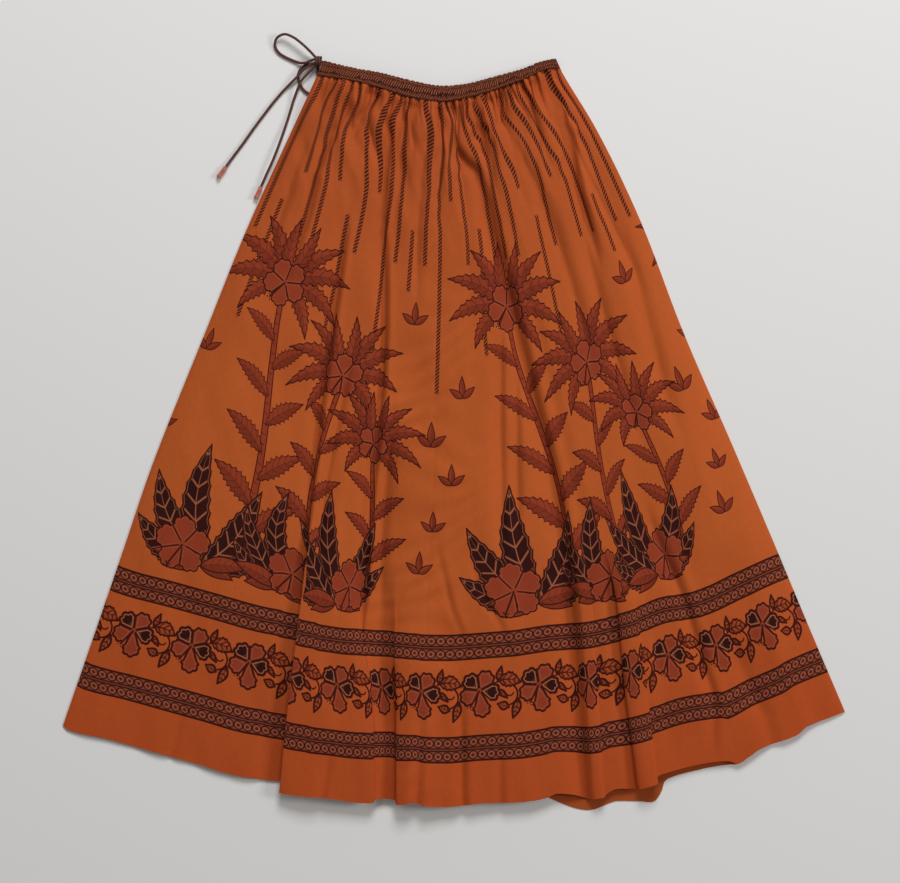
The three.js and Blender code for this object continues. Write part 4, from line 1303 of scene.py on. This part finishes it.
def clothNormals(points):
    normals = np.cross(np.gradient(points, axis=0), np.gradient(points, axis=1))
    return normals / np.maximum(np.linalg.norm(normals, axis=-1), 1e-9)[..., None]


# The baked map of a shell: margin, then the start and height of the outer face, the inner face and the rim.
bakeForm = {"margin": 0.004, "outer": (0.14, 0.856), "inner": (0.024, 0.10), "rim": (0.004, 0.012)}


def shellBakeMap(corners, rows, cols, rimCount):
    # corners: the point of each corner of the faces, outer ones first, then inner ones, then the rim
    margin = bakeForm["margin"]
    grid = (rows - 1) * (cols - 1) * 4
    index = corners % (rows * cols)
    places = np.zeros((len(corners), 2), dtype=np.float32)
    places[:, 0] = np.linspace(margin, 1 - margin, cols)[index % cols]
    up = 1 - np.linspace(0, 1, rows)[index // cols]
    for name, first in (("outer", 0), ("inner", grid)):
        start, tall = bakeForm[name]
        places[first:first + grid, 1] = start + tall * up[first:first + grid]
    width = (1 - 2 * margin) / rimCount
    square = np.array([(0, 0), (1, 0), (1, 1), (0, 1)])
    start, tall = bakeForm["rim"]
    places[2 * grid:, 0] = (margin + width * np.arange(rimCount)[:, None] + square[:, 0] * width).ravel()
    places[2 * grid:, 1] = np.tile(start + square[:, 1] * tall, rimCount)
    return places


def makeShell(name, outer, inner, cutX, cutY):
    # a closed wall between two grids of points, with the printed cloth of each band on its outer face
    rows, cols = outer.shape[:2]
    points = np.concatenate([outer.reshape(-1, 3), inner.reshape(-1, 3)]) * mm
    count = rows * cols
    j, i = np.meshgrid(np.arange(rows - 1), np.arange(cols - 1), indexing="ij")
    a = (j * cols + i).ravel()
    b, c, d = a + cols, a + cols + 1, a + 1
    top, side = np.arange(cols - 1), np.arange(rows - 1) * cols
    bottom, last = top + (rows - 1) * cols, side + cols - 1
    rim = [(top, top + 1), (bottom + 1, bottom), (side + cols, side), (last, last + cols)]
    rim = np.concatenate([np.stack([p, q, q + count, p + count], axis=1) for p, q in rim])
    faces = np.concatenate([np.stack([a, b, c, d], axis=1), np.stack([a, d, c, b], axis=1) + count, rim])
    height = (cutY[:-1, :-1] + cutY[1:, 1:]).ravel() / 2
    slots = np.zeros(len(faces), dtype=np.int32)
    for bandHeight, slot in bandSlots:
        slots[:len(a)][height > bandHeight] = slot
    slots[len(a):2 * len(a)] = len(bandCloths)
    piece = newMesh(name, points, faces, slots, (*bandCloths, wrongSide))
    corners = np.zeros(len(piece.data.loops), dtype=np.int32)
    piece.data.loops.foreach_get("vertex_index", corners)
    addMap(piece, "print", np.stack([np.tile(cutX.ravel(), 2), np.tile(cutY.ravel(), 2)], axis=1)[corners])
    addMap(piece, "OFBake", shellBakeMap(corners, rows, cols, len(rim)))
    piece.data.set_sharp_from_angle(angle=math.radians(form["sharpAngle"]))
    return piece


# Where the gathers lead the print sideways at the waist: angle, spread to its left and right, by how many
# degrees, radius from which that fades and over how far.
leans = [(7, 6, 6, 2.4, 425, 130), (-13.5, 5, 10, 2.0, 450, 150), (16, 4.5, 4.5, 2.0, 435, 120)]


def cutPlace(points, part, angle, radius, cutEnds):
    # where each point lies on the flat cut, from the length of cloth between the marked lines
    shares = np.array([line[0] for line in lines.values()])
    cuts = np.array([line[1] for line in lines.values()], float) * mm
    steps = np.linalg.norm(np.diff(points, axis=1), axis=2)
    length = np.concatenate([np.zeros((len(points), 1)), np.cumsum(steps, axis=1)], axis=1)
    marked = np.zeros(part.shape)
    columns = part[0]
    for k in range(len(shares) - 1):
        inside = (columns >= shares[k] - 1e-9) & (columns <= shares[k + 1] + 1e-9)
        if not inside.any():
            continue
        for row in range(len(points)):
            at = np.interp([shares[k], shares[k + 1]], columns, length[row])
            share = (length[row, inside] - at[0]) / max(at[1] - at[0], 1e-9)
            marked[row, inside] = cuts[k] + share * (cuts[k + 1] - cuts[k])
    # at the waist the gathers spread it nearly evenly, whatever folds lie below
    lean = 0
    for middle, left, right, degrees, start, reach in leans:
        spread = np.where(angle < middle, left, right)
        lean = lean + degrees * bell(angle - middle, spread) * (1 - smooth((radius - start) / reach))
    leant = angle + lean * smooth(np.minimum(angle - angle[:, :1], angle[:, -1:] - angle) / 4)
    even = cutEnds[0] + (cutEnds[1] - cutEnds[0]) * (leant - angle[:, :1]) / (angle[:, -1:] - angle[:, :1])
    return even + (marked - even) * smooth((radius - 430) / 190) + gatherTuck(angle, radius)


def settle(piece, node, area):
    assign(piece, node)
    print(piece.name, "has", len(piece.data.polygons), "faces")


def settlePanel(piece, node, width):
    # its flat cut is a part of the ring, as wide as this along the border
    turn, waist, hem = width / border["radius"], cut["waistRadius"], cut["hemRadius"]
    flat = 2 * hem * math.sin(turn / 2), hem - waist * math.cos(turn / 2)
    settle(piece, node, turn / 2 * (hem ** 2 - waist ** 2))


def makeFrontHalf(name, node, start, end, count, cutEnds):
    dense = [(lines[name][0], lap[5] / 2 / form["laidHemWidth"], 2.6) for name, lap in laps.items()]
    rows = spaced(0, 1, 215, [(0.0, 0.10, 2.2), (1.0, 0.01, 2.0)])
    part, down = np.meshgrid(spaced(start, end, count, dense), rows)
    outer, angle, radius = frontSurface(part, down)
    cutX = cutPlace(outer, part, angle, radius, cutEnds)
    cutY = (1 - down) * form["cutLength"] * mm
    thick = form["cloth"] * (1 + form["hemExtra"] * smooth((form["hemTurn"] - cutY / mm) / 1.5))
    piece = makeShell(name, outer, outer - clothNormals(outer) * thick[..., None], cutX, cutY)
    settlePanel(piece, node, cutEnds[1] - cutEnds[0])
    return piece


def makeBack():
    part, down = np.meshgrid(np.linspace(0, 1, 201), spaced(0, 1, 150, [(0.0, 0.08, 1.8)]))
    part = part[:, ::-1]        # mirrored, so that its outer face points down
    outer = backSurface(part, down)
    cutX = part * cut["whole"] - cut["leftHalf"]
    cutY = (1 - down) * form["cutLength"] * mm
    piece = makeShell("backPanel", outer, outer + (0, 0, form["cloth"]), cutX, cutY)
    settlePanel(piece, "back", cut["whole"])
    return piece


seam, gap = lines["centreSeam"][0], 0.03 / form["laidHemWidth"]
frontLeft = makeFrontHalf("frontLeft", "front_left", 0.0, seam - gap, 190, (-cut["leftHalf"], 0.0))
frontRight = makeFrontHalf("frontRight", "front_right", seam + gap, 1.0, 215, (0.0, cut["rightHalf"]))
backPanel = makeBack()

# The waist casing: a gathered tube of cloth with a row of stitches near the seam.
casing = {
    "wallMiddle": 4.2, "wallEnds": 2.4, "heightMiddle": 11.7, "heightEnds": 3.9, "seamGap": 0.3,
    "shortLeft": 0.5, "shortRight": 0.3, "columns": 700, "round": 30, "squareness": 0.62,
    "cutWidth": 0.400, "cutHeight": 0.0175, "laidWidth": 0.330, "extraGirth": 0.008,
    "ruche": 1.5, "rucheDepth": (0.5, 1.0), "rucheWidth": (0.0032, 0.0052), "ruchePitch": (0.013, 0.024),
    "pinch": 0.34, "pinchAt": 0.55, "pinchWidth": 0.16, "lowest": 0.05,
}


def rucheDepth(seed, share, lean):
    # folds of the gathered tube; each has its place, depth, width and slant
    chance = random.Random(seed)
    depth, at = np.zeros((len(share), len(lean))), 0.002
    while at < 1:
        deep, wide = chance.uniform(*casing["rucheDepth"]), chance.uniform(*casing["rucheWidth"])
        middle = at + chance.uniform(-1, 1) * 0.0035 * lean[None]
        depth += deep * bell(share[:, None] - middle, wide)
        at += chance.uniform(*casing["ruchePitch"])
    return casing["ruche"] * depth


def makeCasing(name, node, isFront):
    inset = 0 if isFront else form["backInset"]
    leftAngle = lines["leftEdge"][2][0] + math.degrees(casing["shortLeft"] / stations[0])
    rightAngle = lines["rightEdge"][2][0] - math.degrees(casing["shortRight"] / stations[0])
    share = np.linspace(0, 1, casing["columns"] + 1)
    angle = leftAngle + (rightAngle - leftAngle) * share
    bulge = smooth(np.minimum(share, 1 - share) / form["waistRoll"])
    wall = casing["wallEnds"] + (casing["wallMiddle"] - casing["wallEnds"]) * bulge
    top = readTable(waistShape, 1, angle) - inset
    seam = readTable(waistShape, 2, angle) - inset - casing["seamGap"]
    height = wall / 2
    if isFront:
        height = casing["heightEnds"] + (casing["heightMiddle"] - casing["heightEnds"]) * bulge
    around = np.linspace(0, 2 * math.pi, casing["round"], endpoint=False)
    lean = np.cos(around)       # 1 at the seam side, -1 at the top edge
    ruche = rucheDepth(5 if isFront else 6, share, lean)
    # flattened round section, pinched by the stitches
    across = np.sign(lean) * np.abs(lean) ** casing["squareness"]
    rise = np.sign(np.sin(around)) * np.abs(np.sin(around)) ** casing["squareness"]
    pinch = 1 - casing["pinch"] * bell(across - casing["pinchAt"], casing["pinchWidth"])
    halfWide, halfTall = (seam - top)[:, None] / 2, wall[:, None] / 2
    radius = (seam + top)[:, None] / 2 + across * (halfWide - ruche * np.where(lean < 0, 0.9, 0.1))
    x, y = onPlan(radius, angle[:, None])
    z = height[:, None] + rise * (halfTall * pinch - ruche * 0.55) + liftAt(x, y)
    if not isFront:
        z = np.maximum(z, liftAt(x, y) + casing["lowest"])
    girth = 2 * float((seam - top).mean()) * mm + casing["extraGirth"]
    piece = joinRings(name, np.stack([x, y, z], axis=-1) * mm, share * casing["laidWidth"],
                      girth * np.arange(len(around) + 1) / len(around), (0, casing["cutWidth"]), casingCloth)
    settle(piece, node, None)
    return piece


casingFront = makeCasing("casingFront", "casing_front", True)
casingBack = makeCasing("casingBack", "casing_back", False)
print("the skirt is laid out")

# Floor and light.
stage = {"size": 14.0, "depth": 0.0004, "colour": (0.80, 0.792, 0.785, 1), "roughness": 0.9, "specular": 0.2,
         "sky": (1.0, 0.97, 0.93, 1), "skyStrength": 0.25}
# azimuth from +X towards +Y and elevation in degrees, distance and width in metres, power in watts
lamps = {
    "key": {"azimuth": 83, "elevation": 39, "distance": 4.6, "width": 1.7, "power": 141,
            "colour": (0.985, 0.99, 1.0)},
    "side": {"azimuth": 6, "elevation": 33, "distance": 7.0, "width": 1.8, "power": 152,
             "colour": (1.0, 0.985, 0.965)},
}


def makeFloor():
    bpy.ops.object.select_all(action="DESELECT")
    bpy.ops.mesh.primitive_plane_add(size=stage["size"], location=(0, 0, -stage["depth"]))
    floor = bpy.context.active_object
    floor.name = "floor"
    material, tree, shader = newMaterial("floor paint", stage["roughness"], stage["specular"])
    shader.inputs["Base Color"].default_value = stage["colour"]
    floor.data.materials.append(material)


def addLamp(name, azimuth, elevation, distance, width, power, colour):
    data = bpy.data.lights.new(name, "AREA")
    data.shape, data.size = "SQUARE", width
    data.energy, data.color = power, colour
    lamp = bpy.data.objects.new(name, data)
    turn, rise = math.radians(azimuth), math.radians(elevation)
    out, up = distance * math.cos(rise), distance * math.sin(rise)
    lamp.location = (out * math.cos(turn), out * math.sin(turn), up)
    lamp.rotation_euler = (math.pi / 2 - rise, 0, turn + math.pi / 2)
    bpy.context.collection.objects.link(lamp)


makeFloor()
for lampName, lamp in lamps.items():
    addLamp(lampName, **lamp)

world = bpy.data.worlds.new("studio")
world.use_nodes = True
world.node_tree.nodes["Background"].inputs["Color"].default_value = stage["sky"]
world.node_tree.nodes["Background"].inputs["Strength"].default_value = stage["skyStrength"]
bpy.context.scene.world = world
bpy.context.scene.view_settings.view_transform = "Standard"
print("the floor and the lamps are set")
